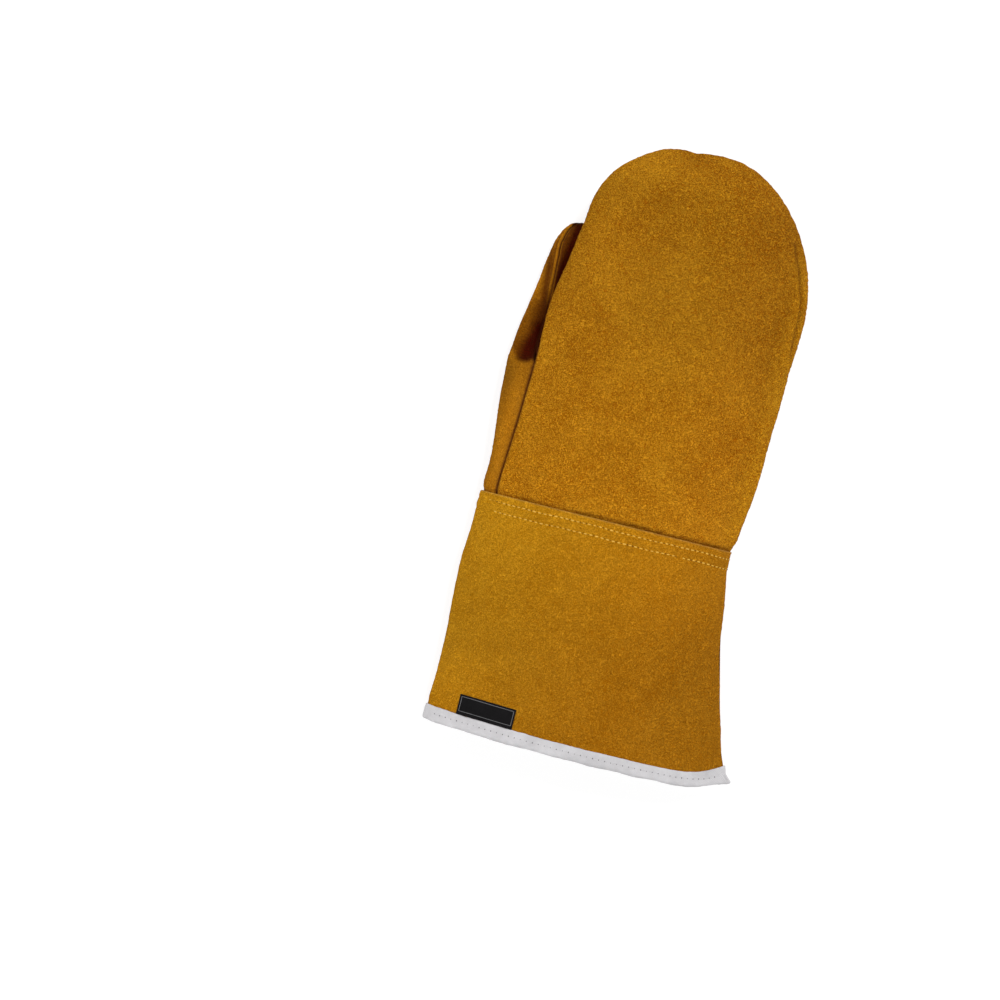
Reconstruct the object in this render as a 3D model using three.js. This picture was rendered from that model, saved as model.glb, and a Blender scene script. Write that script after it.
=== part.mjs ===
// Leather oven glove: a mitt with a free thumb and a long flared cuff, lying palm down
// Millimetres. x runs from the thumb side to the little-finger side, y from the wrist to the
// fingertips and z up. In the tables x starts at the thumb-side corner of the wrist, y at the
// upper edge of the cuff and z at the surface that the glove lies on.

import * as THREE from 'three';

// Rows of numbers under named columns
function table(columns, rows) {
  const names = columns.split(' ');
  return rows.map((row) => Object.fromEntries(names.map((name, k) => [name, row[k]])));
}

// Driving dimensions

const LEATHER = 2.0;        // thickness of the split leather
const SEAM_GAP = 0.3;       // clearance between two panels that are sewn together
const WRIST_LAP = 16;       // length of the hand that runs up inside the cuff
const CUFF_LENGTH = 150;    // from the cuff's upper edge to the bottom of its hem binding
const FORK_Y = 85;          // where the thumb leaves the hand
const TAPE = 1.0;           // thickness of the binding tape
const TAPE_WIDTH = 9.4;     // how far the binding reaches up the cuff
const TAPE_NOSE = 1.6;      // how far the folded tape sticks out past the side seam
const TAPE_INNER_SHORT = 0.8; // how much shorter the tape is inside the cuff
const LABEL_THICK = 0.8;
const LEATHER_ROUGHNESS = 0.9;
const TAPE_ROUGHNESS = 0.85;
const LABEL_ROUGHNESS = 0.7;

const COLOURS = {
  back: 0xb07a1c,
  palm: 0xa8741a,
  thumb: 0xb17c20,
  cuff: 0xb6811f,
  tape: 0xdcdae2,
  label: 0x16161a,
};

// Sections across the cuff and the lower hand, hem first: the fold on the thumb side, the back
// seam, the crest of the back, the little-finger edge and the seam between palm and thumb
const TUBE = table('y foldX foldZ seamX crestX crestZ edgeX edgeZ forkX', [
  [-150, -0.3, 11.5, 11.0, 98, 34.0, 194.5, 8.0, 66],
  [-128, -0.4, 12.2, 10.6, 96, 36.0, 187.0, 8.4, 66],
  [-104, -0.5, 12.8, 10.3, 94, 38.0, 180.3, 8.9, 66],
  [-75, -0.6, 13.3, 10.0, 91, 40.0, 173.0, 9.4, 66],
  [-45, -0.6, 13.7, 9.6, 88, 41.8, 166.9, 10.0, 66],
  [-15, -0.5, 14.0, 9.2, 85, 43.2, 163.3, 10.6, 65],
  [5, -0.3, 14.0, 9.4, 83, 44.2, 164.3, 11.2, 65.5],
  [24, 0.0, 14.0, 10.4, 82, 45.0, 166.4, 12.0, 69],
  [44, -0.8, 13.8, 11.6, 81, 46.0, 168.6, 12.8, 72],
  [68, -2.6, 13.3, 12.6, 81, 47.0, 169.2, 13.2, 74],
  [85, -3.6, 12.8, 13.2, 82, 47.6, 169.8, 13.4, 75],
]);

// The mitt above the fork of the thumb: its seam at both sides
const MITT_LEFT = table('y x z', [
  [85, 13.2, 28.6],
  [104, 13.3, 29.2],
  [120, 13.4, 29.8],
  [136, 15.4, 30.2],
  [152, 18.3, 30.4],
  [167, 20.4, 30.2],
  [180, 22.4, 29.6],
]);
const MITT_RIGHT = table('y x z', [
  [85, 169.8, 13.4],
  [102, 170.4, 13.5],
  [118, 170.6, 13.6],
  [134, 171.6, 13.8],
  [150, 172.3, 14.0],
]);

// The fingertips: two quarters of a superellipse that meet at the top
const TIP = { x: 97.5, y: 241.4, z: 20.0 };
const TIP_LEFT_POWER = 2.25;
const TIP_RIGHT_POWER = 1.88;

// The crest of the back from the fork to the middle of the fingertips' dome
const CREST = table('y x z', [
  [85, 82, 47.6],
  [110, 84, 48.2],
  [135, 88, 47.8],
  [155, 93, 46.2],
  [172, 97.5, 43.5],
]);

// The free thumb, fork first: outer fold, back seam at its distance from the fold, inner edge,
// and the middle line with the height of the side that faces the palm
const THUMB = table('foldX foldY foldZ seamIn seamZ edgeX edgeY edgeZ midX midY midZ', [
  [-3.6, 85, 12.8, 16.8, 28.6, 75.0, 85, 3.6, 40.0, 85, 15.4],
  [-1.4, 103, 11.6, 14.0, 23.6, 67.5, 102, 4.0, 33.5, 103, 15.2],
  [1.6, 121, 10.2, 10.0, 19.2, 58.8, 120, 4.6, 30.0, 121, 16.0],
  [3.8, 138, 9.2, 6.2, 16.0, 50.8, 136, 5.0, 27.0, 137, 15.8],
  [4.8, 151, 8.6, 3.6, 13.2, 43.6, 151, 5.2, 24.2, 150, 15.2],
  [7.2, 163, 8.0, 1.4, 10.4, 37.0, 163, 5.8, 22.4, 159, 14.6],
  [10.8, 172, 7.6, 0.5, 8.8, 31.6, 172, 6.4, 21.7, 165, 14.0],
  [15.4, 178.4, 7.4, 0.0, 7.4, 27.0, 178.2, 7.0, 21.4, 168, 13.8],
  [21.2, 181.2, 7.2, 0.0, 7.2, 21.2, 181.2, 7.2, 21.2, 168, 13.8],
]);

// How far the hem lies above its nominal line along the cuff's width
const HEM_RISE = table('x rise', [
  [-2, 2.2],
  [8, 0.9],
  [30, 0.2],
  [60, -0.7],
  [105, -1.2],
  [150, -0.8],
  [170, 0.4],
  [182, 3.2],
  [196, 9.6],
]);
const HEM_RISE_FROM_Y = -70;
const HEM_RISE_FULL_Y = -136;

// Underside of the cuff near the hem, which leaves room for the tape beneath it
const HEM_LIFT = TAPE + SEAM_GAP + 0.05;
const HEM_LIFT_FROM_Y = -118;
const HEM_LIFT_FULL_Y = -138;

// The hand is drawn in under the cuff and swells to its full section above it
const CUFF_CLEARANCE = LEATHER + SEAM_GAP + 0.1;
const SWELL_Y = 9;

// Rows of the lower hand, from inside the cuff to the fork
const LOWER_ROWS = [-WRIST_LAP, -1.5, 2.5, 5.5, SWELL_Y, 22, 38, 54, 70, FORK_Y];
const LEFT_SIDE_ROWS = 6;
const LEFT_TIP_ROWS = 7;
const RIGHT_SIDE_ROWS = 5;
const RIGHT_TIP_ROWS = 8;
const CUFF_ROWS = [0, -WRIST_LAP, -34, -54, -74, -92, -108, -122, -132, -140.6, -148.6];

// Points along a row, from a seam at 0 to the panel's middle line at 1
const BACK_STEPS = [0, 0.075, 0.16, 0.26, 0.38, 0.52, 0.67, 0.83, 1];
const PALM_STEPS = [0, 0.09, 0.2, 0.33, 0.48, 0.72, 1];
const OUTER_STEPS = [0, 0.1, 0.19, 0.28, 0.37, 0.46, 0.58, 0.77, 1];
const INNER_STEPS = [0, 0.18, 0.38, 0.66, 1];
const PALM_MIDDLE_X = 118;
const THUMB_FLOOR_X = 40;

// Small helpers

const clamp01 = (t) => Math.min(1, Math.max(0, t));
const mix = (a, b, t) => a + (b - a) * t;

function smooth(from, to, value) {
  const t = clamp01((value - from) / (to - from));
  return t * t * (3 - 2 * t);
}

// Smooth curve through one column of a table, read at a value of its key column
function along(table, key, column, value) {
  const n = table.length;
  const rising = table[n - 1][key] > table[0][key];
  let i = 0;
  while (i < n - 2 && (rising ? value > table[i + 1][key] : value < table[i + 1][key])) i += 1;
  const slope = (k) => {
    const a = table[Math.max(0, k - 1)];
    const b = table[Math.min(n - 1, k + 1)];
    return (b[column] - a[column]) / (b[key] - a[key]);
  };
  const step = table[i + 1][key] - table[i][key];
  const t = clamp01((value - table[i][key]) / step);
  const rest = 1 - t;
  return (1 + 2 * t) * rest * rest * table[i][column]
    + t * rest * rest * step * slope(i)
    + t * t * (3 - 2 * t) * table[i + 1][column]
    - t * t * rest * step * slope(i + 1);
}

function rowOf(table, key, value) {
  const row = {};
  for (const column of Object.keys(table[0])) row[column] = along(table, key, column, value);
  row[key] = value;
  return row;
}

// Rounded rise from 0 at a seam to 1 at a crest
const dome = (t, p, q) => (1 - (1 - clamp01(t)) ** p) ** (1 / q);

// Rounded fall from 1 at a seam to 0 where the leather meets the surface below
const tuck = (t, p, q) => 1 - (1 - (1 - clamp01(t)) ** p) ** (1 / q);

// Points at given fractions of the length of a polyline in (s, z)
function resample(points, fractions) {
  const lengths = [0];
  for (let i = 1; i < points.length; i += 1) {
    const step = Math.hypot(points[i][0] - points[i - 1][0], points[i][1] - points[i - 1][1]);
    lengths.push(lengths[i - 1] + step);
  }
  const total = lengths[lengths.length - 1];
  return fractions.map((fraction) => {
    const wanted = fraction * total;
    let i = 1;
    while (i < lengths.length - 1 && lengths[i] < wanted) i += 1;
    const t = clamp01((wanted - lengths[i - 1]) / (lengths[i] - lengths[i - 1] || 1));
    return [mix(points[i - 1][0], points[i][0], t), mix(points[i - 1][1], points[i][1], t)];
  });
}

// A row of points over the plan line from a seam point to a middle point, whose profile gives
// the height z at each distance s from the seam point
function layRow(from, to, profile, fractions) {
  const length = Math.hypot(to.x - from.x, to.y - from.y);
  const fine = profile(length);
  return resample(fine, fractions).map(([s, z]) => {
    const t = s / length;
    return new THREE.Vector3(mix(from.x, to.x, t), mix(from.y, to.y, t), z);
  });
}

const FINE = 96;

function sampled(from, to, height) {
  const points = [];
  for (let i = 0; i <= FINE; i += 1) {
    const s = mix(from, to, i / FINE);
    points.push([s, height(s)]);
  }
  return points;
}

// Profiles of the panels' rows

const FOLD_POWER = 0.77;    // how fast the thumb-side fold rises to the back seam
const BACK_POWER = { left: [2.2, 1.5], right: [2.0, 1.6], tube: [2.0, 1.3] };

// Back of the hand: up from the seam to the crest
function backProfile(seamZ, crestZ, p, q) {
  return (length) => sampled(0, length, (s) => seamZ + (crestZ - seamZ) * dome(s / length, p, q));
}

// Underside: down from the seam to the surface within a given reach
function underProfile(seamZ, reach, p, q) {
  return (length) => sampled(0, length, (s) => seamZ * tuck(s / reach, p, q));
}

// Thumb side: from the back seam out to the fold, down round it and along the surface
function wrapProfile(seamIn, seamZ, foldZ, reach, p, q) {
  return (length) => {
    const rise = (s) => foldZ + (seamZ - foldZ) * (s / seamIn) ** FOLD_POWER;
    const over = seamIn > 0 ? sampled(seamIn, 0, rise) : [];
    const beneath = sampled(0, length, (s) => foldZ * tuck(s / reach, p, q));
    return [...over, ...beneath];
  };
}

// Closed section of the cuff and lower hand

const tubeTopZ = (row, x) => row.foldZ
  + (row.crestZ - row.foldZ) * dome((x - row.foldX) / (row.crestX - row.foldX), ...BACK_POWER.tube);

const EDGE_REACH = 36;
const EDGE_TUCK = [1.8, 1.0];
const FOLD_REACH = 13;
const FOLD_TUCK = [2, 2];
const FORK_SEAM_REACH = 8;

// Above the crotch the palm hangs taut from the thumb-side seam to the surface beyond the thumb
const THUMB_SIDE_CONTACT_X = 88;
const CROTCH_TUCK = 1.04;
const TAUT_ROWS = 4;        // rows over which the palm slackens again
const LEFT_TUCK = 1.25;

const LIFT_FADE_Z = 20;     // height at which the lift of the hem's underside has faded out

const underLift = (y) => HEM_LIFT * smooth(HEM_LIFT_FROM_Y, HEM_LIFT_FULL_Y, y);

function tubeRow(y) {
  const row = rowOf(TUBE, 'y', y);
  row.seamZ = tubeTopZ(row, row.seamX);
  return row;
}

// The mitt and the thumb start on the back seam of the lower hand
const FORK_SEAM_HEIGHT = tubeRow(FORK_Y).seamZ;
MITT_LEFT[0].z = FORK_SEAM_HEIGHT;
THUMB[0].seamZ = FORK_SEAM_HEIGHT;

// The six half rows of a section, each from its seam to its panel's middle
function tubeHalves(y) {
  const row = tubeRow(y);
  const lift = underLift(y);
  const at = (x) => ({ x, y });
  const lifted = smooth(SWELL_Y, FORK_Y, y) ** 2;
  const forkZ = THUMB[0].edgeZ * lifted;
  const tautReach = mix(FORK_SEAM_REACH, THUMB_SIDE_CONTACT_X - row.forkX, lifted);
  const tautTuck = mix(EDGE_TUCK[0], CROTCH_TUCK, lifted);
  const profiles = {
    backLeft: (length) => sampled(0, length, (s) => tubeTopZ(row, row.seamX + s)),
    backRight: backProfile(row.edgeZ, row.crestZ, ...BACK_POWER.right),
    palmRight: underProfile(row.edgeZ, EDGE_REACH, ...EDGE_TUCK),
    palmLeft: underProfile(forkZ, tautReach, tautTuck, EDGE_TUCK[1]),
    outerRight: underProfile(forkZ, FORK_SEAM_REACH, ...EDGE_TUCK),
    outerLeft: wrapProfile(row.seamX - row.foldX, row.seamZ, row.foldZ, FOLD_REACH, ...FOLD_TUCK),
  };
  const halves = {
    backLeft: layRow(at(row.seamX), at(row.crestX), profiles.backLeft, BACK_STEPS),
    backRight: layRow(at(row.edgeX), at(row.crestX), profiles.backRight, BACK_STEPS),
    palmRight: layRow(at(row.edgeX), at(PALM_MIDDLE_X), profiles.palmRight, PALM_STEPS),
    palmLeft: layRow(at(row.forkX), at(PALM_MIDDLE_X), profiles.palmLeft, PALM_STEPS),
    outerRight: layRow(at(row.forkX), at(THUMB_FLOOR_X), profiles.outerRight, OUTER_STEPS),
    outerLeft: layRow(at(row.foldX), at(THUMB_FLOOR_X), profiles.outerLeft, OUTER_STEPS),
  };
  for (const name of ['palmRight', 'palmLeft', 'outerRight', 'outerLeft']) {
    for (const point of halves[name]) point.z += lift * (1 - smooth(0, LIFT_FADE_Z, point.z));
  }
  return halves;
}

// The section as one loop that starts at the little-finger edge and runs over the back
const LOOP_ORDER = [
  ['backRight', false], ['backLeft', true],
  ['outerLeft', false], ['outerRight', true],
  ['palmLeft', false], ['palmRight', true],
];

function tubeLoop(y) {
  const halves = tubeHalves(y);
  const loop = [];
  for (const [name, backward] of LOOP_ORDER) {
    const half = backward ? [...halves[name]].reverse() : halves[name];
    loop.push(...half.slice(0, -1));
  }
  return loop;
}

// The loop drawn in by a distance in its own plane, its corners mitred
const MITRE_LIMIT = 1.8;
const SHARPEST_MITRE = 0.2;

function drawnIn(loop, distance) {
  const n = loop.length;
  return loop.map((point, i) => {
    const before = loop[(i + n - 1) % n];
    const after = loop[(i + 1) % n];
    const a = new THREE.Vector2(point.x - before.x, point.z - before.z).normalize();
    const b = new THREE.Vector2(after.x - point.x, after.z - point.z).normalize();
    const inward = new THREE.Vector2(-(a.y + b.y), a.x + b.x).normalize();
    const stretch = Math.min(MITRE_LIMIT, 1 / Math.max(SHARPEST_MITRE, inward.y * a.x - inward.x * a.y));
    const move = distance * stretch;
    return new THREE.Vector3(point.x + inward.x * move, point.y, point.z + inward.y * move);
  });
}

// The same loop cut back into its six half rows
function splitLoop(loop) {
  const halves = {};
  let start = 0;
  const counts = { back: BACK_STEPS.length, outer: OUTER_STEPS.length, palm: PALM_STEPS.length };
  for (const [name, backward] of LOOP_ORDER) {
    const count = counts[name.replace(/Left|Right/, '')];
    const half = [];
    for (let k = 0; k < count; k += 1) half.push(loop[(start + k) % loop.length].clone());
    halves[name] = backward ? half.reverse() : half;
    start += count - 1;
  }
  return halves;
}

const drawIn = (y) => CUFF_CLEARANCE * (1 - smooth(0, SWELL_Y, y));

const handHalves = (y) => splitLoop(drawnIn(tubeLoop(y), drawIn(y)));

// The mitt above the fork

// A seam point on the left or the right of the mitt, by its row number above the fork
function mittSeam(side, row) {
  const left = side === 'left';
  const table = left ? MITT_LEFT : MITT_RIGHT;
  const sideRows = left ? LEFT_SIDE_ROWS : RIGHT_SIDE_ROWS;
  const tipRows = left ? LEFT_TIP_ROWS : RIGHT_TIP_ROWS;
  const last = table[table.length - 1];
  if (row <= sideRows) {
    const y = mix(FORK_Y, last.y, row / sideRows);
    return { x: along(table, 'y', 'x', y), y, z: along(table, 'y', 'z', y), turn: 0 };
  }
  const angle = ((row - sideRows) / tipRows) * (Math.PI / 2);
  const power = left ? TIP_LEFT_POWER : TIP_RIGHT_POWER;
  const out = Math.max(0, Math.cos(angle)) ** (2 / power);
  const up = Math.sin(angle) ** (2 / power);
  return {
    x: TIP.x + (last.x - TIP.x) * out,
    y: last.y + (TIP.y - last.y) * up,
    z: mix(last.z, TIP.z, up * up),
    turn: up * up,
  };
}

const UPPER_ROWS = LEFT_SIDE_ROWS + LEFT_TIP_ROWS;
const FAN_ROWS = 5;

function crestPoint(row) {
  const y = mix(FORK_Y, CREST[CREST.length - 1].y, clamp01(row / (UPPER_ROWS - FAN_ROWS)));
  return { x: along(CREST, 'y', 'x', y), y, z: along(CREST, 'y', 'z', y) };
}

const PALM_MIDDLE_END = { x: 100, y: 166 };

function palmMiddle(row) {
  const t = clamp01(row / (UPPER_ROWS - FAN_ROWS));
  return { x: mix(PALM_MIDDLE_X, PALM_MIDDLE_END.x, t), y: mix(FORK_Y, PALM_MIDDLE_END.y, t) };
}

// The back starts at the fork with the section of the lower hand and turns into a dome of its own
const BLEND_ROWS = 3;

function mittBack(side, row) {
  const seam = mittSeam(side, row);
  const crest = crestPoint(row);
  const [p, q] = side === 'left' ? BACK_POWER.left : BACK_POWER.right;
  const [tipP, tipQ] = BACK_POWER.left;
  const own = backProfile(seam.z, crest.z, mix(p, tipP, seam.turn), mix(q, tipQ, seam.turn));
  if (side === 'right' || row >= BLEND_ROWS) return layRow(seam, crest, own, BACK_STEPS);
  const fork = tubeRow(FORK_Y);
  const blend = row / BLEND_ROWS;
  const height = (length) => {
    const domed = own(length);
    return domed.map(([s, z]) => {
      const tube = tubeTopZ(fork, mix(fork.seamX, fork.crestX, s / length));
      const share = (tube - fork.seamZ) / (fork.crestZ - fork.seamZ);
      return [s, mix(mix(seam.z, crest.z, share), z, blend)];
    });
  };
  return layRow(seam, crest, height, BACK_STEPS);
}

const TIP_REACH = 62;
const TIP_TUCK = 1.6;

const rowStretch = (from, to) => Math.hypot(to.x - from.x, to.y - from.y) / Math.abs(to.x - from.x);

function mittPalm(side, row) {
  const seam = mittSeam(side, row);
  const middle = palmMiddle(row);
  let reach = mix(EDGE_REACH, TIP_REACH, seam.turn);
  let power = mix(EDGE_TUCK[0], TIP_TUCK, seam.turn);
  if (side === 'left') {
    const straight = (THUMB_SIDE_CONTACT_X - seam.x) * rowStretch(seam, middle);
    reach = seam.turn < 1 ? mix(straight, TIP_REACH, smooth(0, 0.6, seam.turn)) : TIP_REACH;
    power = mix(mix(CROTCH_TUCK, LEFT_TUCK, clamp01(row / TAUT_ROWS)), TIP_TUCK, seam.turn);
  }
  return layRow(seam, middle, underProfile(seam.z, reach, power, 1), PALM_STEPS);
}

// The free thumb

const THUMB_ROWS = THUMB.length - 1;
const THUMB_TIP_TUCK = [1.8, 1.4];
const THUMB_TIP_REACH = 9;

function thumbOuter(side, row) {
  const { foldX, foldY, foldZ, seamIn, seamZ, edgeX, edgeY, edgeZ, midX, midY } = THUMB[row];
  const middle = { x: midX, y: midY };
  const left = side === 'left';
  const tip = (row / THUMB_ROWS) ** 2;
  const reach = mix(left ? FOLD_REACH : FORK_SEAM_REACH, THUMB_TIP_REACH, tip);
  const tuckHere = (left ? FOLD_TUCK : EDGE_TUCK).map((power, k) => mix(power, THUMB_TIP_TUCK[k], tip));
  if (left) {
    const profile = wrapProfile(seamIn, seamZ, foldZ, reach, ...tuckHere);
    return layRow({ x: foldX, y: foldY }, middle, profile, OUTER_STEPS);
  }
  return layRow({ x: edgeX, y: edgeY }, middle, underProfile(edgeZ, reach, ...tuckHere), OUTER_STEPS);
}

const CROTCH_POWER = [1.0, 1.0];
const THUMB_TOP_POWER = [2.0, 1.25];

function thumbInner(side, row) {
  const { foldX, foldY, seamIn, seamZ, edgeX, edgeY, edgeZ, midX, midY, midZ } = THUMB[row];
  const left = side === 'left';
  const fold = new THREE.Vector2(foldX, foldY);
  const inward = new THREE.Vector2(midX - foldX, midY - foldY).normalize();
  const seam = left ? fold.addScaledVector(inward, seamIn) : new THREE.Vector2(edgeX, edgeY);
  const blend = clamp01(row / TAUT_ROWS);
  const p = mix(CROTCH_POWER[0], THUMB_TOP_POWER[0], blend);
  const q = mix(CROTCH_POWER[1], THUMB_TOP_POWER[1], blend);
  return layRow(seam, { x: midX, y: midY }, backProfile(left ? seamZ : edgeZ, midZ, p, q), INNER_STEPS);
}

// Panels as lists of faces over one pool of points, so that neighbours share their seam points

class Skin {
  constructor() {
    this.points = [];
    this.index = new Map();
    this.panels = {};
  }

  point(p) {
    const key = [p.x, p.y, p.z].map((value) => Math.round(value * 1000)).join(' ');
    if (!this.index.has(key)) {
      this.index.set(key, this.points.length);
      this.points.push(p.clone());
    }
    return this.index.get(key);
  }

  // Faces between neighbouring rows; a flipped half has its rows running the other way
  addRows(panel, rows, flipped) {
    const faces = this.panels[panel] ?? (this.panels[panel] = []);
    const ids = rows.map((row) => row.map((p) => this.point(p)));
    for (let i = 0; i + 1 < ids.length; i += 1) {
      for (let j = 0; j + 1 < ids[i].length; j += 1) {
        const quad = [ids[i][j], ids[i][j + 1], ids[i + 1][j + 1], ids[i + 1][j]];
        if (flipped) quad.reverse();
        this.addQuad(faces, quad);
      }
    }
  }

  addQuad(faces, quad) {
    const [a, b, c, d] = quad;
    const length = (k, m) => this.points[k].distanceTo(this.points[m]);
    const pair = length(a, c) <= length(b, d) ? [[a, b, c], [a, c, d]] : [[a, b, d], [b, c, d]];
    for (const face of pair) {
      if (new Set(face).size === 3) faces.push(face);
    }
  }

  // Sums of the face normals at each point, by panel
  normalSums() {
    const sums = this.points.map(() => ({}));
    for (const [panel, faces] of Object.entries(this.panels)) {
      for (const face of faces) {
        const corners = face.map((id) => this.points[id]);
        const normal = faceNormal(...corners);
        face.forEach((id, k) => {
          const next = corners[(k + 1) % 3].clone().sub(corners[k]);
          const last = corners[(k + 2) % 3].clone().sub(corners[k]);
          const sum = sums[id][panel] ?? (sums[id][panel] = emptySum());
          addNormal(sum, normal, -1, next.angleTo(last));
        });
      }
    }
    return sums;
  }
}

function faceNormal(a, b, c) {
  return new THREE.Vector3().subVectors(b, a).cross(new THREE.Vector3().subVectors(c, a)).normalize();
}

// Least squares: the move whose part along each added direction is nearest to its distance
const MOVE_DAMPING = 0.015;

const emptySum = () => ({ m: [0, 0, 0, 0, 0, 0], v: new THREE.Vector3(), weight: 0 });

function addNormal(sum, n, distance, weight) {
  const products = [n.x * n.x, n.x * n.y, n.x * n.z, n.y * n.y, n.y * n.z, n.z * n.z];
  products.forEach((product, k) => { sum.m[k] += product * weight; });
  sum.v.addScaledVector(n, distance * weight);
  sum.weight += weight;
}

function joinSums(sums) {
  const total = emptySum();
  for (const sum of sums) {
    sum.m.forEach((value, k) => { total.m[k] += value; });
    total.v.add(sum.v);
    total.weight += sum.weight;
  }
  return total;
}

function solveMove({ m, v, weight }) {
  const [xx, xy, xz, yy, yz, zz] = m;
  const d = MOVE_DAMPING * weight;
  const matrix = new THREE.Matrix3().set(xx + d, xy, xz, xy, yy + d, yz, xz, yz, zz + d);
  return v.clone().applyMatrix3(matrix.invert());
}

// Panels that share one mitre where all of them meet at the fork
const FORK_SIDES = [['back_panel', 'palm_panel'], ['thumb_outer', 'thumb_inner']];

// The move from the outer face to the inner face of one panel, per millimetre of wall
function inwardMove(sums, panel) {
  const atFork = sums.palm_panel && sums.thumb_inner;
  const side = FORK_SIDES.find((names) => names.includes(panel));
  const names = Object.keys(sums).filter((name) => !atFork || side.includes(name));
  return solveMove(joinSums(names.map((name) => sums[name])));
}

// Edges that only one face of the panel uses, in the faces' own direction
function borderEdges(faces) {
  const used = new Set(faces.flatMap((face) => face.map((id, k) => `${id} ${face[(k + 1) % 3]}`)));
  const edges = [];
  for (const face of faces) {
    face.forEach((a, k) => {
      const b = face[(k + 1) % 3];
      if (!used.has(`${b} ${a}`)) edges.push([a, b]);
    });
  }
  return edges;
}

// The panels on the far side of a panel's edges
function neighbours(skin, name) {
  const found = new Map();
  for (const [panel, faces] of Object.entries(skin.panels)) {
    if (panel === name) continue;
    for (const face of faces) face.forEach((a, k) => found.set(`${face[(k + 1) % 3]} ${a}`, panel));
  }
  return found;
}

const isForkSeam = (name, other) => [name, other].sort().join(' ') === 'palm_panel thumb_inner';

// How each edge point is drawn back into its panel, so that sewn panels keep their gap; along the
// seam of the fork the two panels lie on each other and draw apart through their thickness
function drawBack(skin, name, edges, moves, own) {
  const across = neighbours(skin, name);
  const wanted = new Map();
  for (const [a, b] of edges) {
    const other = across.get(`${a} ${b}`);
    const edge = skin.points[b].clone().sub(skin.points[a]).normalize();
    for (const id of [a, b]) {
      const sum = wanted.get(id) ?? emptySum();
      const into = isForkSeam(name, other) ? own(id) : edge.clone().cross(moves(id)).normalize();
      addNormal(sum, into, other ? SEAM_GAP / 2 : 0, 1);
      wanted.set(id, sum);
    }
  }
  return new Map([...wanted].map(([id, sum]) => [id, solveMove(sum)]));
}

// A panel as a closed wall of leather
function panelGeometry(skin, sums, name) {
  const faces = skin.panels[name];
  const edges = borderEdges(faces);
  const moves = (id) => inwardMove(sums[id], name);
  const own = (id) => solveMove(sums[id][name]).normalize();
  const pulls = drawBack(skin, name, edges, moves, own);
  const shell = new ShellBuilder();
  const outer = (id) => {
    const p = skin.points[id].clone();
    return pulls.has(id) ? p.add(pulls.get(id)) : p;
  };
  const inner = (id) => outer(id).addScaledVector(moves(id), LEATHER);
  for (const [a, b, c] of faces) {
    shell.triangle(outer(a), outer(b), outer(c));
    shell.triangle(inner(c), inner(b), inner(a));
  }
  for (const [a, b] of edges) shell.quad(outer(b), outer(a), inner(a), inner(b));
  return shell.geometry();
}

// Triangles with shared points, as a three.js geometry
class ShellBuilder {
  constructor() {
    this.positions = [];
    this.triangles = [];
    this.index = new Map();
  }

  id(p) {
    const key = [p.x, p.y, p.z].map((value) => Math.round(value * 2000)).join(' ');
    if (!this.index.has(key)) {
      this.index.set(key, this.positions.length / 3);
      this.positions.push(p.x, p.y, p.z);
    }
    return this.index.get(key);
  }

  triangle(a, b, c) {
    const ids = [this.id(a), this.id(b), this.id(c)];
    if (new Set(ids).size === 3) this.triangles.push(...ids);
  }

  // Split along the shorter diagonal, so that neighbouring walls are faceted alike
  quad(a, b, c, d) {
    if (a.distanceTo(c) <= b.distanceTo(d)) {
      this.triangle(a, b, c);
      this.triangle(a, c, d);
    } else {
      this.triangle(a, b, d);
      this.triangle(b, c, d);
    }
  }

  // Faces over a grid of points
  grid(rows) {
    for (let i = 0; i + 1 < rows.length; i += 1) {
      for (let j = 0; j + 1 < rows[i].length; j += 1) {
        this.quad(rows[i][j], rows[i][j + 1], rows[i + 1][j + 1], rows[i + 1][j]);
      }
    }
  }

  geometry() {
    const geometry = new THREE.BufferGeometry();
    geometry.setAttribute('position', new THREE.Float32BufferAttribute(this.positions, 3));
    geometry.setIndex(this.triangles);
    geometry.computeVertexNormals();
    return geometry;
  }
}

// A closed wall between an outer and an inner grid; both run so that the outer faces out
function wallGeometry(outer, inner) {
  const shell = new ShellBuilder();
  const back = (rows) => rows.map((row) => [...row].reverse());
  const lastRow = outer.length - 1;
  const lastColumn = outer[0].length - 1;
  const column = (rows, j) => rows.map((row) => row[j]);
  shell.grid(outer);
  shell.grid(back(inner));
  shell.grid([inner[0], outer[0]]);
  shell.grid([outer[lastRow], inner[lastRow]]);
  shell.grid([column(outer, 0), column(inner, 0)]);
  shell.grid([column(inner, lastColumn), column(outer, lastColumn)]);
  return shell.geometry();
}

function named(name, geometry, colour, roughness) {
  const material = new THREE.MeshStandardMaterial({ color: colour, roughness, metalness: 0 });
  const mesh = new THREE.Mesh(geometry, material);
  mesh.name = name;
  return mesh;
}

// Hand and thumb

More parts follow.
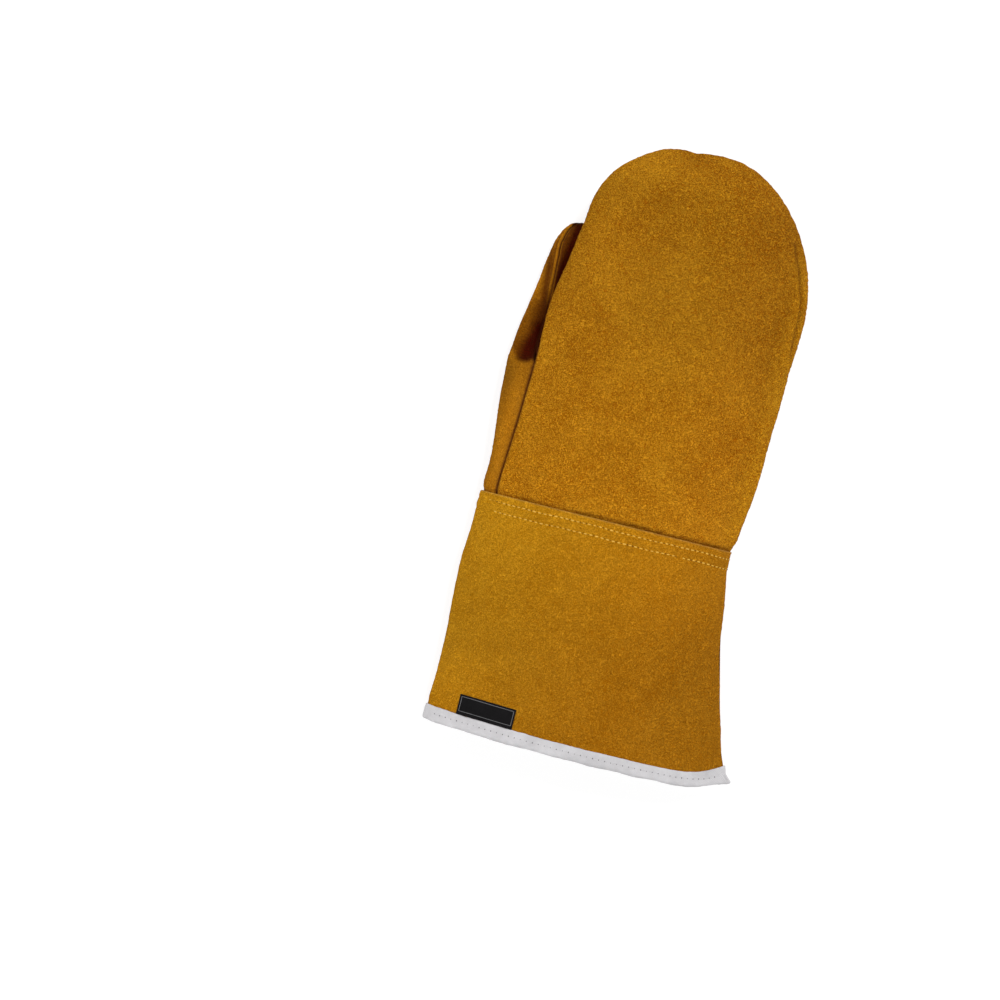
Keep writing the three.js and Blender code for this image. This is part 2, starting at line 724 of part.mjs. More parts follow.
function sewnPanels() {
  const skin = new Skin();
  const lower = LOWER_ROWS.map(handHalves);
  const made = (make, side, from, to) => {
    const rows = [];
    for (let row = from; row <= to; row += 1) rows.push(make(side, row));
    return rows;
  };
  const below = (name) => lower.map((halves) => halves[name]);

  skin.addRows('back_panel', [...below('backLeft'), ...made(mittBack, 'left', 1, UPPER_ROWS)], false);
  skin.addRows('back_panel', [...below('backRight'), ...made(mittBack, 'right', 1, UPPER_ROWS)], true);

  // The palm's rows turn about one middle point along the crotch
  const crotch = [...thumbInner('left', 0), ...thumbInner('right', 0).reverse().slice(1)].reverse();
  const pivot = palmMiddle(1);
  const crotchRows = crotch.slice(1).map((point) => {
    const reach = (THUMB_SIDE_CONTACT_X - point.x) * rowStretch(point, pivot);
    return layRow(point, pivot, underProfile(point.z, reach, CROTCH_TUCK, 1), PALM_STEPS);
  });
  const palmLeft = [...below('palmLeft'), ...crotchRows, ...made(mittPalm, 'left', 1, UPPER_ROWS)];
  skin.addRows('palm_panel', palmLeft, true);
  skin.addRows('palm_panel', [...below('palmRight'), ...made(mittPalm, 'right', 1, UPPER_ROWS)], false);

  skin.addRows('thumb_outer', [...below('outerLeft'), ...made(thumbOuter, 'left', 1, THUMB_ROWS)], true);
  skin.addRows('thumb_outer', [...below('outerRight'), ...made(thumbOuter, 'right', 1, THUMB_ROWS)], false);
  skin.addRows('thumb_inner', made(thumbInner, 'left', 0, THUMB_ROWS), false);
  skin.addRows('thumb_inner', made(thumbInner, 'right', 0, THUMB_ROWS), true);

  const sums = skin.normalSums();
  const colours = {
    back_panel: COLOURS.back,
    palm_panel: COLOURS.palm,
    thumb_outer: COLOURS.thumb,
    thumb_inner: COLOURS.thumb,
  };
  return Object.entries(colours).map(([name, colour]) => (
    named(name, panelGeometry(skin, sums, name), colour, LEATHER_ROUGHNESS)));
}

// Cuff, binding and label

const hemShift = (x, y) => along(HEM_RISE, 'x', 'rise', x) * smooth(HEM_RISE_FROM_Y, HEM_RISE_FULL_Y, y);

// The cuff's loop at a nominal y, drawn in by a distance, with the slope of the hem in it
function cuffLoop(y, distance) {
  const loop = tubeLoop(y);
  return drawnIn(loop, distance).map((p, i) => new THREE.Vector3(p.x, y + hemShift(loop[i].x, y), p.z));
}

// The side seam: the sheet's two edges meet at the little-finger edge and keep their gap
function openAtSeam(loop) {
  const half = new THREE.Vector3(0, 0, SEAM_GAP / 2);
  return [loop[0].clone().add(half), ...loop.slice(1), loop[0].clone().sub(half)];
}

function makeCuff() {
  const rows = [...CUFF_ROWS].reverse();
  const sheet = (distance) => rows.map((y) => openAtSeam(cuffLoop(y, distance)).reverse());
  return named('cuff', wallGeometry(sheet(0), sheet(LEATHER)), COLOURS.cuff, LEATHER_ROUGHNESS);
}

function makeBinding() {
  const bottom = -CUFF_LENGTH;
  const top = bottom + TAPE_WIDTH;
  const crease = bottom + TAPE;
  const innerTop = top - TAPE_INNER_SHORT;
  const out = -SEAM_GAP;
  const inside = LEATHER + SEAM_GAP;
  const bevel = TAPE * 0.3;
  // The tape's section: the distance drawn in from the cuff's outer face, and y
  const section = [
    [out - TAPE, top], [out - TAPE, crease], [out - bevel, bottom], [inside + bevel, bottom],
    [inside + TAPE, crease], [inside + TAPE, innerTop], [inside, innerTop], [inside, crease],
    [out, crease], [out, top],
  ];
  const rings = section.map(([distance, y]) => {
    const loop = cuffLoop(y, distance);
    if (distance < 0) loop[0].x += TAPE_NOSE;
    return [...loop, loop[0]];
  });
  const shell = new ShellBuilder();
  shell.grid([...rings, rings[0]]);
  return named('hem_binding', shell.geometry(), COLOURS.tape, TAPE_ROUGHNESS);
}

const LABEL = { fromX: 18.6, toX: 55, fromY: -140.2, toY: -128, columns: 8, rows: 3 };
const SLOPE_STEP = 0.5;

function makeLabel() {
  const face = (lift) => {
    const rows = [];
    for (let i = 0; i <= LABEL.rows; i += 1) {
      const y = mix(LABEL.fromY, LABEL.toY, i / LABEL.rows);
      const row = tubeRow(y);
      const line = [];
      for (let j = 0; j <= LABEL.columns; j += 1) {
        const x = mix(LABEL.fromX, LABEL.toX, j / LABEL.columns);
        const rise = tubeTopZ(row, x + SLOPE_STEP) - tubeTopZ(row, x - SLOPE_STEP);
        const slope = rise / (2 * SLOPE_STEP);
        const normal = new THREE.Vector3(-slope, 0, 1).normalize();
        line.push(new THREE.Vector3(x, y + hemShift(x, y), tubeTopZ(row, x)).addScaledVector(normal, lift));
      }
      rows.push(line);
    }
    return rows;
  };
  const geometry = wallGeometry(face(SEAM_GAP + LABEL_THICK), face(SEAM_GAP));
  return named('label', geometry, COLOURS.label, LABEL_ROUGHNESS);
}

// The whole glove, with the origin at the middle of its footprint

const group = new THREE.Group();
group.name = 'oven_glove';
for (const mesh of sewnPanels()) group.add(mesh);
group.add(makeCuff(), makeBinding(), makeLabel());

const box = new THREE.Box3().setFromObject(group);
group.position.set(-(box.min.x + box.max.x) / 2, -(box.min.y + box.max.y) / 2, -box.min.z);
group.updateMatrixWorld(true);

export default group;
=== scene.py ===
# Leather oven glove lying palm down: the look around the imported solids
import math

import bpy
import numpy as np
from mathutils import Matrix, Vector
from mathutils.bvhtree import BVHTree
from mathutils.kdtree import KDTree


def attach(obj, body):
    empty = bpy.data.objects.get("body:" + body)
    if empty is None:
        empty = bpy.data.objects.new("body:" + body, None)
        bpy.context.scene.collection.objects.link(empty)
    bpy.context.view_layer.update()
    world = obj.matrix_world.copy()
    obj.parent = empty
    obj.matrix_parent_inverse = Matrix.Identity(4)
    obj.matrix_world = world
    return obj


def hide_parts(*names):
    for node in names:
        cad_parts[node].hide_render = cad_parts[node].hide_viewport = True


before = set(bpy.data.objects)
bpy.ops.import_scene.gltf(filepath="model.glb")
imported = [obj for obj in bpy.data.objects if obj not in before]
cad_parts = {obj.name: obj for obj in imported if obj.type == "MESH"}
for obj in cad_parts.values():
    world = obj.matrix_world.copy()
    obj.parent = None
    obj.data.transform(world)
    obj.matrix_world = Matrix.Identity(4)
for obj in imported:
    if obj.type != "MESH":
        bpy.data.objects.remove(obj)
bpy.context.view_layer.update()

# Every table is in millimetres, from the thumb-side corner of the wrist
MM = 0.001
ORIGIN = np.array([-97.539, -45.121, 0.003])

# Camera straight above the glove
TURN = math.radians(14)
VIEW_CENTRE = (13.14, -3.22)
VIEW_WIDTH = 630.0
SEAM_HEIGHT = 15.0
CAMERA_HEIGHT = 2500.0
CAMERA_REACH = 20000.0
SENSOR = 36.0


def in_frame(points):
    return (np.asarray(points, float) + ORIGIN) * MM


def add_object(name, data):
    item = bpy.data.objects.new(name, data)
    bpy.context.scene.collection.objects.link(item)
    return item


def add_camera():
    data = bpy.data.cameras.new("camera")
    data.sensor_width = SENSOR
    data.lens = SENSOR * CAMERA_HEIGHT / VIEW_WIDTH
    data.clip_end = CAMERA_REACH * MM
    camera = add_object("camera", data)
    camera.location = in_frame([*VIEW_CENTRE, SEAM_HEIGHT + CAMERA_HEIGHT])
    camera.rotation_euler = (0, 0, TURN)
    bpy.context.scene.camera = camera


add_camera()


# Tables of the form

def table(columns, rows):
    return dict(zip(columns.split(), np.array(rows, float).T))


LEATHER = 2.0
CUFF_LENGTH = 150.0
FORK_Y = 85.0
WRIST_LAP = 16.0
TUBE = table("y foldX foldZ seamX crestX crestZ edgeX edgeZ forkX", [
    [-150, -0.3, 11.5, 11.0, 98, 34.0, 194.5, 8.0, 66],
    [-128, -0.4, 12.2, 10.6, 96, 36.0, 187.0, 8.4, 66],
    [-104, -0.5, 12.8, 10.3, 94, 38.0, 181.4, 8.9, 66],
    [-75, -0.6, 13.3, 10.0, 91, 40.0, 174.6, 9.4, 66],
    [-45, -0.6, 13.7, 9.6, 88, 41.8, 167.9, 10.0, 66],
    [-15, -0.5, 14.0, 9.2, 85, 43.2, 163.3, 10.6, 65],
    [5, -0.3, 14.0, 9.4, 83, 44.2, 164.3, 11.2, 65.5],
    [24, 0.0, 14.0, 10.4, 82, 45.0, 166.4, 12.0, 69],
    [44, -0.8, 13.8, 11.6, 81, 46.0, 168.6, 12.8, 72],
    [68, -3.4, 13.3, 12.6, 81, 47.0, 169.2, 13.2, 74],
    [85, -5.0, 12.8, 13.2, 82, 47.6, 169.8, 13.4, 75],
])
MITT_LEFT = table("y x z", [
    [85, 13.2, 28.6], [104, 13.3, 29.2], [120, 13.4, 29.8], [136, 15.4, 30.2],
    [152, 18.3, 30.4], [167, 20.4, 30.2], [180, 22.4, 29.6],
])
MITT_RIGHT = table("y x z", [
    [85, 169.8, 13.4], [102, 170.4, 13.5], [118, 170.6, 13.6], [134, 171.6, 13.8], [150, 172.3, 14.0],
])
TIP = {"x": 97.5, "y": 241.4, "z": 20.0}
TIP_POWER = {"left": 2.25, "right": 1.88}
CREST = table("y x z", [
    [85, 82, 47.6], [110, 84, 48.2], [135, 88, 47.8], [155, 93, 46.2], [172, 97.5, 43.5],
])
THUMB = table("row foldX foldY foldZ seamIn seamZ edgeX edgeY edgeZ midX midY midZ", [
    [0, -5.0, 85, 12.8, 18.2, 28.6, 75.0, 85, 3.6, 40.0, 85, 15.4],
    [1, -2.4, 103, 11.6, 14.6, 23.6, 67.5, 102, 4.0, 33.5, 103, 15.2],
    [2, 0.7, 121, 10.2, 12.2, 19.2, 58.8, 120, 4.6, 30.0, 121, 16.0],
    [3, 3.0, 138, 9.2, 9.5, 16.0, 50.8, 136, 5.0, 27.0, 137, 15.8],
    [4, 4.8, 151, 8.6, 7.1, 13.2, 43.6, 151, 5.2, 24.2, 150, 15.2],
    [5, 7.2, 163, 8.0, 4.3, 10.4, 37.0, 163, 5.8, 22.4, 159, 14.6],
    [6, 10.8, 172, 7.6, 2.8, 8.8, 31.6, 172, 6.4, 21.7, 165, 14.0],
    [7, 15.4, 177.4, 7.4, 1.6, 7.4, 27.0, 177.2, 7.0, 21.4, 168, 13.8],
    [8, 21.2, 179.8, 7.2, 0.0, 7.2, 21.2, 179.8, 7.2, 21.2, 168, 13.8],
])
HEM_RISE = table("x rise", [
    [-2, 2.2], [8, 0.9], [30, 0.2], [60, -0.7], [105, -1.2],
    [150, -0.8], [170, 0.4], [182, 3.2], [196, 9.6],
])
HEM_RISE_Y = (-70.0, -136.0)
HEM_LIFT = 1.35
HEM_LIFT_Y = (-118.0, -138.0)
HEM_LIFT_TOP = 20.0
CUFF_CLEARANCE = 2.25
SWELL_Y = 2.6
# On top, at the thumb side and at the little-finger side
SWELLS_Y = [(0, SWELL_Y), (-2.0, 6.0), (-2.0, 9.0)]
INSET_MARGIN = (14.0, 16.0)
INSET_Z = 13.0
STITCH_ROWS = (-4.7, -11.0)
STITCH_GROOVE = 0.9
LAST_ROW = 13
SIDE_ROWS = {"left": 6, "right": 5}
FAN_FROM = 8
THUMB_LAST = 8
MIDDLE_X = 118.0
MIDDLE_END = (100.0, 166.0)
THUMB_FLOOR_X = 40.0
BACK_POWER = {"left": (2.2, 1.5), "right": (2.0, 1.6), "tube": (2.0, 1.3)}
EDGE_REACH = 36.0
EDGE_TUCK = (1.8, 1.0)
FOLD_REACH = 13.0
FOLD_TUCK = (2.0, 2.0)
FOLD_POWER = 0.77
FORK_REACH = 8.0
CONTACT_X = 88.0
CROTCH_TUCK = 1.04
TAUT_ROWS = 4.0
LEFT_TUCK = 1.25
TIP_REACH = 62.0
TIP_TUCK = 1.6
TIP_BLEND = 0.6
BLEND_ROWS = 3.0
THUMB_TIP_TUCK = (1.8, 1.4)
THUMB_TIP_REACH = 9.0
INNER_POWER = (2.0, 1.25)


def clamp01(t):
    return np.clip(t, 0.0, 1.0)


def mix(a, b, t):
    return a + (b - a) * t


def ramp(start, end, value):
    t = clamp01((value - start) / (end - start))
    return t * t * (3 - 2 * t)


def along(t, column, value):
    """A smooth curve through one column of a table over its first."""
    x, y = next(iter(t.values())), t[column]
    i = np.arange(len(x))
    low, high = np.maximum(i - 1, 0), np.minimum(i + 1, i[-1])
    slope = (y[high] - y[low]) / (x[high] - x[low])
    i = np.clip(np.searchsorted(x, value, side="right") - 1, 0, len(x) - 2)
    step = x[i + 1] - x[i]
    u = clamp01((value - x[i]) / step)
    rest = 1 - u
    rises = u * rest * rest * step * slope[i] - u * u * rest * step * slope[i + 1]
    return (1 + 2 * u) * rest * rest * y[i] + u * u * (3 - 2 * u) * y[i + 1] + rises


def row_of(t, value):
    return {column: float(along(t, column, value)) for column in t}


def dome(t, p, q):
    return (1 - (1 - clamp01(t)) ** p) ** (1 / q)


def tuck(t, p, q):
    return 1 - (1 - (1 - clamp01(t)) ** p) ** (1 / q)


def bell(value, middle, width):
    return np.exp(-(((value - middle) / width) ** 2))


def fading(distance, length):
    return np.exp(-np.maximum(distance, 0) / length)


# Rows of points from a seam to the middle line of a panel

FINE = 240


def sampled(end, height):
    s = end * np.linspace(0, 1, FINE) ** 2
    return np.column_stack([s, height(s)])


def lay_row(start, end, profile, fractions):
    start, end = np.array(start[:2], float), np.array(end[:2], float)
    length = np.hypot(*(end - start))
    fine = profile(length)
    reached = np.concatenate([[0], np.cumsum(np.hypot(*np.diff(fine, axis=0).T))])
    wanted = fractions * reached[-1]
    s = np.interp(wanted, reached, fine[:, 0])
    z = np.interp(wanted, reached, fine[:, 1])
    t = s / length
    return np.column_stack([mix(start[0], end[0], t), mix(start[1], end[1], t), z])


def back_profile(seam_z, crest_z, p, q):
    return lambda length: sampled(length, lambda s: seam_z + (crest_z - seam_z) * dome(s / length, p, q))


def under_profile(seam_z, reach, p, q):
    return lambda length: sampled(length, lambda s: seam_z * tuck(s / reach, p, q))


def wrap_profile(seam_in, seam_z, fold_z, reach, p, q):
    def profile(length):
        beneath = sampled(length, lambda s: fold_z * tuck(s / reach, p, q))
        if seam_in <= 0:
            return beneath
        over = sampled(seam_in, lambda s: fold_z + (seam_z - fold_z) * (s / seam_in) ** FOLD_POWER)
        return np.vstack([over[::-1], beneath[1:]])

    return profile


BESIDE_SEAM = (0, 0.35, 0.8, 1.4, 2.1, 3.0)
CELL = 1.12
INNER_CELL = 1.1


def steps(length, cell=CELL):
    """Fractions along a row: fine beside the seam, then even."""
    count = round((length - BESIDE_SEAM[-1]) / cell)
    return np.array([*BESIDE_SEAM, *np.linspace(BESIDE_SEAM[-1], length, count + 1)[1:]]) / length


STEPS = {"back": steps(84), "palm": steps(58), "outer": steps(66), "inner": steps(30, INNER_CELL)}


def tube_top(row, x):
    t = (x - row["foldX"]) / (row["crestX"] - row["foldX"])
    return row["foldZ"] + (row["crestZ"] - row["foldZ"]) * dome(t, *BACK_POWER["tube"])


def tube_row(y):
    row = row_of(TUBE, y)
    row["seamZ"] = float(tube_top(row, row["seamX"]))
    return row


FORK = tube_row(FORK_Y)
MITT_LEFT["z"][0] = FORK["seamZ"]
THUMB["seamZ"][0] = FORK["seamZ"]


def tube_halves(y):
    """The six half rows of a section of the cuff or the lower hand."""
    row = tube_row(y)
    lifted = float(ramp(SWELL_Y, FORK_Y, y)) ** 2
    fork_z = THUMB["edgeZ"][0] * lifted
    taut_reach = mix(FORK_REACH, CONTACT_X - row["forkX"], lifted)
    taut_power = mix(EDGE_TUCK[0], CROTCH_TUCK, lifted)
    wrapped = wrap_profile(row["seamX"] - row["foldX"], row["seamZ"], row["foldZ"], FOLD_REACH, *FOLD_TUCK)
    crowned = back_profile(row["edgeZ"], row["crestZ"], *BACK_POWER["right"])

    def over_fold(length):
        return sampled(length, lambda s: tube_top(row, row["seamX"] + s))

    kinds = {
        "backLeft": ("seamX", row["crestX"], over_fold),
        "backRight": ("edgeX", row["crestX"], crowned),
        "palmRight": ("edgeX", MIDDLE_X, under_profile(row["edgeZ"], EDGE_REACH, *EDGE_TUCK)),
        "palmLeft": ("forkX", MIDDLE_X, under_profile(fork_z, taut_reach, taut_power, EDGE_TUCK[1])),
        "outerRight": ("forkX", THUMB_FLOOR_X, under_profile(fork_z, FORK_REACH, *EDGE_TUCK)),
        "outerLeft": ("foldX", THUMB_FLOOR_X, wrapped),
    }
    lift = HEM_LIFT * float(ramp(*HEM_LIFT_Y, y))
    halves = {}
    for name, (edge, middle, profile) in kinds.items():
        panel = name.replace("Left", "").replace("Right", "")
        points = lay_row((row[edge], y), (middle, y), profile, STEPS[panel])
        points[:, 2] += lift * (1 - ramp(0, HEM_LIFT_TOP, points[:, 2]))
        halves[name] = points
    return row, halves


def inset(points, row, above, left, right):
    """Points of a section moved inwards, at its two sides by distances of their own."""
    x = np.clip(points[:, 0], row["foldX"] + INSET_MARGIN[0], row["edgeX"] - INSET_MARGIN[1])
    out = np.column_stack([points[:, 0] - x, points[:, 2] - INSET_Z])
    out /= np.maximum(np.hypot(*out.T), 1e-6)[:, None]
    distance = mix(above, np.where(out[:, 0] < 0, left, right), out[:, 0] ** 4)
    moved = points.copy()
    moved[:, 0] -= out[:, 0] * distance
    moved[:, 2] -= out[:, 1] * distance
    return moved


def hand_halves(y):
    row, halves = tube_halves(y)
    distances = [CUFF_CLEARANCE * (1 - float(ramp(*span, y))) for span in SWELLS_Y]
    return {name: inset(points, row, *distances) for name, points in halves.items()}


def mitt_seam(side, row):
    t = MITT_LEFT if side == "left" else MITT_RIGHT
    count = SIDE_ROWS[side]
    last = {column: t[column][-1] for column in t}
    if row <= count:
        y = mix(FORK_Y, last["y"], row / count)
        return np.array([along(t, "x", y), y, along(t, "z", y)]), 0.0
    angle = (row - count) / (LAST_ROW - count) * math.pi / 2
    out = max(0.0, math.cos(angle)) ** (2 / TIP_POWER[side])
    up = math.sin(angle) ** (2 / TIP_POWER[side])
    x = TIP["x"] + (last["x"] - TIP["x"]) * out
    return np.array([x, mix(last["y"], TIP["y"], up), mix(last["z"], TIP["z"], up * up)]), up * up


def crest_point(row):
    y = mix(FORK_Y, CREST["y"][-1], min(1.0, row / FAN_FROM))
    return np.array([along(CREST, "x", y), y, along(CREST, "z", y)])


def palm_middle(row):
    t = min(1.0, row / FAN_FROM)
    return np.array([mix(MIDDLE_X, MIDDLE_END[0], t), mix(FORK_Y, MIDDLE_END[1], t)])


def mitt_back(side, row):
    seam, turn = mitt_seam(side, row)
    crest = crest_point(row)
    powers = [mix(own, left, turn) for own, left in zip(BACK_POWER[side], BACK_POWER["left"])]
    own = back_profile(seam[2], crest[2], *powers)
    if side == "right" or row >= BLEND_ROWS:
        return lay_row(seam, crest, own, STEPS["back"])
    blend = float(ramp(0, BLEND_ROWS, row))

    def profile(length):
        points = own(length)
        tube = tube_top(FORK, mix(FORK["seamX"], FORK["crestX"], points[:, 0] / length))
        share = (tube - FORK["seamZ"]) / (FORK["crestZ"] - FORK["seamZ"])
        points[:, 1] = mix(mix(seam[2], crest[2], share), points[:, 1], blend)
        return points

    return lay_row(seam, crest, profile, STEPS["back"])


def contact_reach(start, middle):
    """How far along a row the palm comes down beside the thumb."""
    across, ahead = middle[0] - start[0], middle[1] - start[1]
    return (CONTACT_X - start[0]) * (math.hypot(across, ahead) / abs(across))


def taut_row(start, middle):
    profile = under_profile(start[2], contact_reach(start, middle), CROTCH_TUCK, 1)
    return lay_row(start, middle, profile, STEPS["palm"])


def mitt_palm(side, row):
    seam, turn = mitt_seam(side, row)
    if side == "right":
        middle = palm_middle(row)
        reach = mix(EDGE_REACH, TIP_REACH, turn)
        power = mix(EDGE_TUCK[0], TIP_TUCK, turn)
    else:
        middle = palm_middle(max(PIVOT_ROW, row))
        straight = contact_reach(seam, middle) if turn < 1 else TIP_REACH
        reach = mix(straight, TIP_REACH, float(ramp(0, TIP_BLEND, turn)))
        power = mix(mix(CROTCH_TUCK, LEFT_TUCK, min(1.0, row / TAUT_ROWS)), TIP_TUCK, turn)
    return lay_row(seam, middle, under_profile(seam[2], reach, power, 1), STEPS["palm"])


def thumb_outer(side, row):
    t = row_of(THUMB, row)
    tip = (row / THUMB_LAST) ** 2
    left = side == "left"
    reach = mix(FOLD_REACH if left else FORK_REACH, THUMB_TIP_REACH, tip)
    powers = [mix(a, b, tip) for a, b in zip(FOLD_TUCK if left else EDGE_TUCK, THUMB_TIP_TUCK)]
    middle = (t["midX"], t["midY"])
    if left:
        seam = (t["foldX"], t["foldY"])
        profile = wrap_profile(t["seamIn"], t["seamZ"], t["foldZ"], reach, *powers)
    else:
        seam = (t["edgeX"], t["edgeY"])
        profile = under_profile(t["edgeZ"], reach, *powers)
    return lay_row(seam, middle, profile, STEPS["outer"])


def thumb_inner(side, row):
    t = row_of(THUMB, row)
    fold = np.array([t["foldX"], t["foldY"]])
    middle = np.array([t["midX"], t["midY"]])
    inward = (middle - fold) / np.hypot(*(middle - fold))
    left = side == "left"
    seam = fold + inward * max(0.0, t["seamIn"]) if left else np.array([t["edgeX"], t["edgeY"]])
    blend = min(1.0, row / TAUT_ROWS)
    powers = [mix(1.0, power, blend) for power in INNER_POWER]
    profile = back_profile(t["seamZ"] if left else t["edgeZ"], t["midZ"], *powers)
    return lay_row(seam, middle, profile, STEPS["inner"])


# Surfaces as arrays of points and quads

WELD_CELL = 0.01
WELD_OFFSET = 0.0013
RELAX_SHARE = 0.5
EDGE_PARTS = 4
WAVE_SPREAD = (0.7, 1.5)
PROBE_FROM = 100.0


def weld(grids):
    """One surface from grids of points; a grid whose flag is set faces the other way."""
    points = []
    quads = []
    count = 0
    for grid, flip in grids:
        grid = np.asarray(grid)
        rows, columns = grid.shape[:2]
        ids = count + np.arange(rows * columns).reshape(rows, columns)
        quad = np.stack([ids[:-1, :-1], ids[:-1, 1:], ids[1:, 1:], ids[1:, :-1]], -1).reshape(-1, 4)
        quads.append(quad[:, ::-1] if flip else quad)
        points.append(grid.reshape(-1, 3))
        count += rows * columns
    points = np.vstack(points)
    quads = np.vstack(quads)
    keys = np.round((points + WELD_OFFSET) / WELD_CELL).astype(np.int64)
    first, back = np.unique(keys, axis=0, return_index=True, return_inverse=True)[1:]
    quads = back.reshape(-1)[quads]
    sides = [quads[:, k] != quads[:, (k + 1) % 4] for k in range(4)]
    real = (np.sum(sides, axis=0) >= 3) & (quads[:, 0] != quads[:, 2]) & (quads[:, 1] != quads[:, 3])
    return points[first], quads[real]


def unit(vectors):
    return vectors / np.maximum(np.linalg.norm(vectors, axis=1), 1e-9)[:, None]


def directed_edges(quads):
    pairs = np.vstack([quads[:, [k, (k + 1) % 4]] for k in range(4)])
    return pairs[pairs[:, 0] != pairs[:, 1]]


def normals_of(points, quads, rounds):
    """Normals averaged with their neighbours', against slivers in a fan."""
    a, b, c, d = (points[quads[:, k]] for k in range(4))
    face = np.cross(c - a, d - b)
    normal = np.zeros_like(points)
    for k in range(4):
        np.add.at(normal, quads[:, k], face)
    normal = unit(normal)
    pairs = directed_edges(quads)
    for _ in range(rounds):
        total = normal.copy()
        np.add.at(total, pairs[:, 0], normal[pairs[:, 1]])
        np.add.at(total, pairs[:, 1], normal[pairs[:, 0]])
        normal = unit(total)
    return normal


def border_of(quads, count):
    """The edges with a face on one side alone."""
    pairs = directed_edges(quads)
    return pairs[~np.isin(pairs @ (1, count), pairs @ (count, 1))]


def relax(points, quads, rounds):
    """The surface evened out with its border held, and the border's edges."""
    count = len(points)
    edges = border_of(quads, count)
    free = np.ones(count, bool)
    free[edges.ravel()] = False
    pairs = directed_edges(quads)
    degree = np.bincount(pairs[:, 0], minlength=count).astype(float)
    points = points.copy()
    for _ in range(rounds):
        sums = [np.bincount(pairs[:, 0], points[pairs[:, 1], k], count) for k in range(3)]
        mean = np.column_stack(sums) / degree[:, None]
        points[free] += (mean - points)[free] * RELAX_SHARE
    return points, edges


def dense_line(points, edges):
    t = np.linspace(0, 1, EDGE_PARTS, endpoint=False)[None, :, None]
    a, b = points[edges[:, 0]][:, None], points[edges[:, 1]][:, None]
    return (a + (b - a) * t).reshape(-1, 3)


def distance_to(points, line):
    """Distance from each point to the nearest of a dense row of points."""
    tree = KDTree(len(line))
    for k, p in enumerate(line):
        tree.insert(Vector(p), k)
    tree.balance()
    return np.array([tree.find(Vector(p))[2] for p in points])


def plan_distance(points, line):
    """Distance in plan to a polyline, and how far along it the nearest place is."""
    line = np.array(line, float)
    best = np.full(len(points), 1e9)
    place = np.zeros(len(points))
    spans = np.hypot(*np.diff(line, axis=0).T)
    reached = np.concatenate([[0], np.cumsum(spans)])
    for k in range(len(line) - 1):
        a, b = line[k], line[k + 1]
        t = clamp01(((points[:, :2] - a) @ (b - a)) / spans[k] ** 2)
        d = np.hypot(*(points[:, :2] - (a + t[:, None] * (b - a))).T)
        place = np.where(d < best, (reached[k] + t * spans[k]) / reached[-1], place)
        best = np.minimum(best, d)
    return best, place


def ripples(points, *rows, count=7):
    """Smooth noise from waves in every direction, by rows of amount, length and seed."""
    total = 0.0
    for amount, length, seed in rows:
        draw = np.random.default_rng(seed)
        wave = np.zeros(len(points))
        for _ in range(count):
            direction = draw.normal(size=3)
            direction *= 2 * math.pi / (np.linalg.norm(direction) * length * draw.uniform(*WAVE_SPREAD))
            wave += np.sin(points @ direction + draw.uniform(0, 2 * math.pi))
        total = total + amount * (wave / math.sqrt(count))
    return total


def crease(points, line, width, depth, rim=0.35):
    """A soft groove with raised flanks along a line in plan."""
    d, place = plan_distance(points, line)
    fade = np.sin(np.pi * clamp01(place)) ** 0.6
    flank = bell(d, 2.2 * width, 1.3 * width)
    return depth * fade * (rim * flank - bell(d, 0, width))


def tone(rows, x, y):
    """The sum of the rows' first numbers, each faded by ramps along x or y."""
    total = 0.0
    for amount, *ramps in rows:
        for axis, start, end in ramps:
            amount = amount * ramp(start, end, x if axis == "x" else y)
        total = total + amount
    return total


def height_at(tree, x, y, under=False):
    """The place of a surface over a point in plan, or None where it has none."""
    way = 1.0 if under else -1.0
    return tree.ray_cast(Vector((x, y, -PROBE_FROM * way)), Vector((0, 0, way)))[0]


# Meshes

LEAST_INNER_Z = 0.8


def add_mesh(name, points, faces, material, attributes=None, smooth_angle=45):
    mesh = bpy.data.meshes.new(name)
    mesh.from_pydata(in_frame(points).tolist(), [], faces)
    mesh.validate()
    for key, values in (attributes or {}).items():
        attribute = mesh.attributes.new(key, "FLOAT", "POINT")
        attribute.data.foreach_set("value", np.asarray(values, np.float32))
    mesh.polygons.foreach_set("use_smooth", [True] * len(mesh.polygons))
    mesh.set_sharp_from_angle(angle=math.radians(smooth_angle))
    mesh.materials.append(material)
    piece = add_object(name, mesh)
    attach(piece, "root")
    return piece


def face_list(quads):
    return [[v for k, v in enumerate(quad) if v != quad[k - 1]] for quad in quads.tolist()]


def closed_faces(quads, count):
    """Outer faces, those of an inner copy, and the walls between them."""
    outer = face_list(quads)
    inner = [[v + count for v in face[::-1]] for face in outer]
    return outer + inner + [[b, a, a + count, b + count] for a, b in border_of(quads, count).tolist()]


def leather_sheet(name, base, quads, lift, d, roll, material, marks):
    """A sheet lifted and turned in at its seams, and a tree of its outer face."""
    normal = normals_of(base, quads, 1)
    outer = pull_seam(base + normal * lift[:, None], normal, d, **roll)
    inner = base - normals_of(base, quads, 3) * LEATHER
    inner[:, 2] = np.maximum(inner[:, 2], np.minimum(base[:, 2], LEAST_INNER_Z))
    count = len(outer)
    attributes = {"inside": np.repeat([0, 1], count)}
    for key, values in marks.items():
        attributes[key] = np.concatenate([values, np.zeros(count)])
    piece = add_mesh(name, np.vstack([outer, inner]), closed_faces(quads, count), material, attributes)
    return piece, BVHTree.FromPolygons(outer.tolist(), face_list(quads))


# Materials

WHITE = (1.0, 1.0, 1.0)
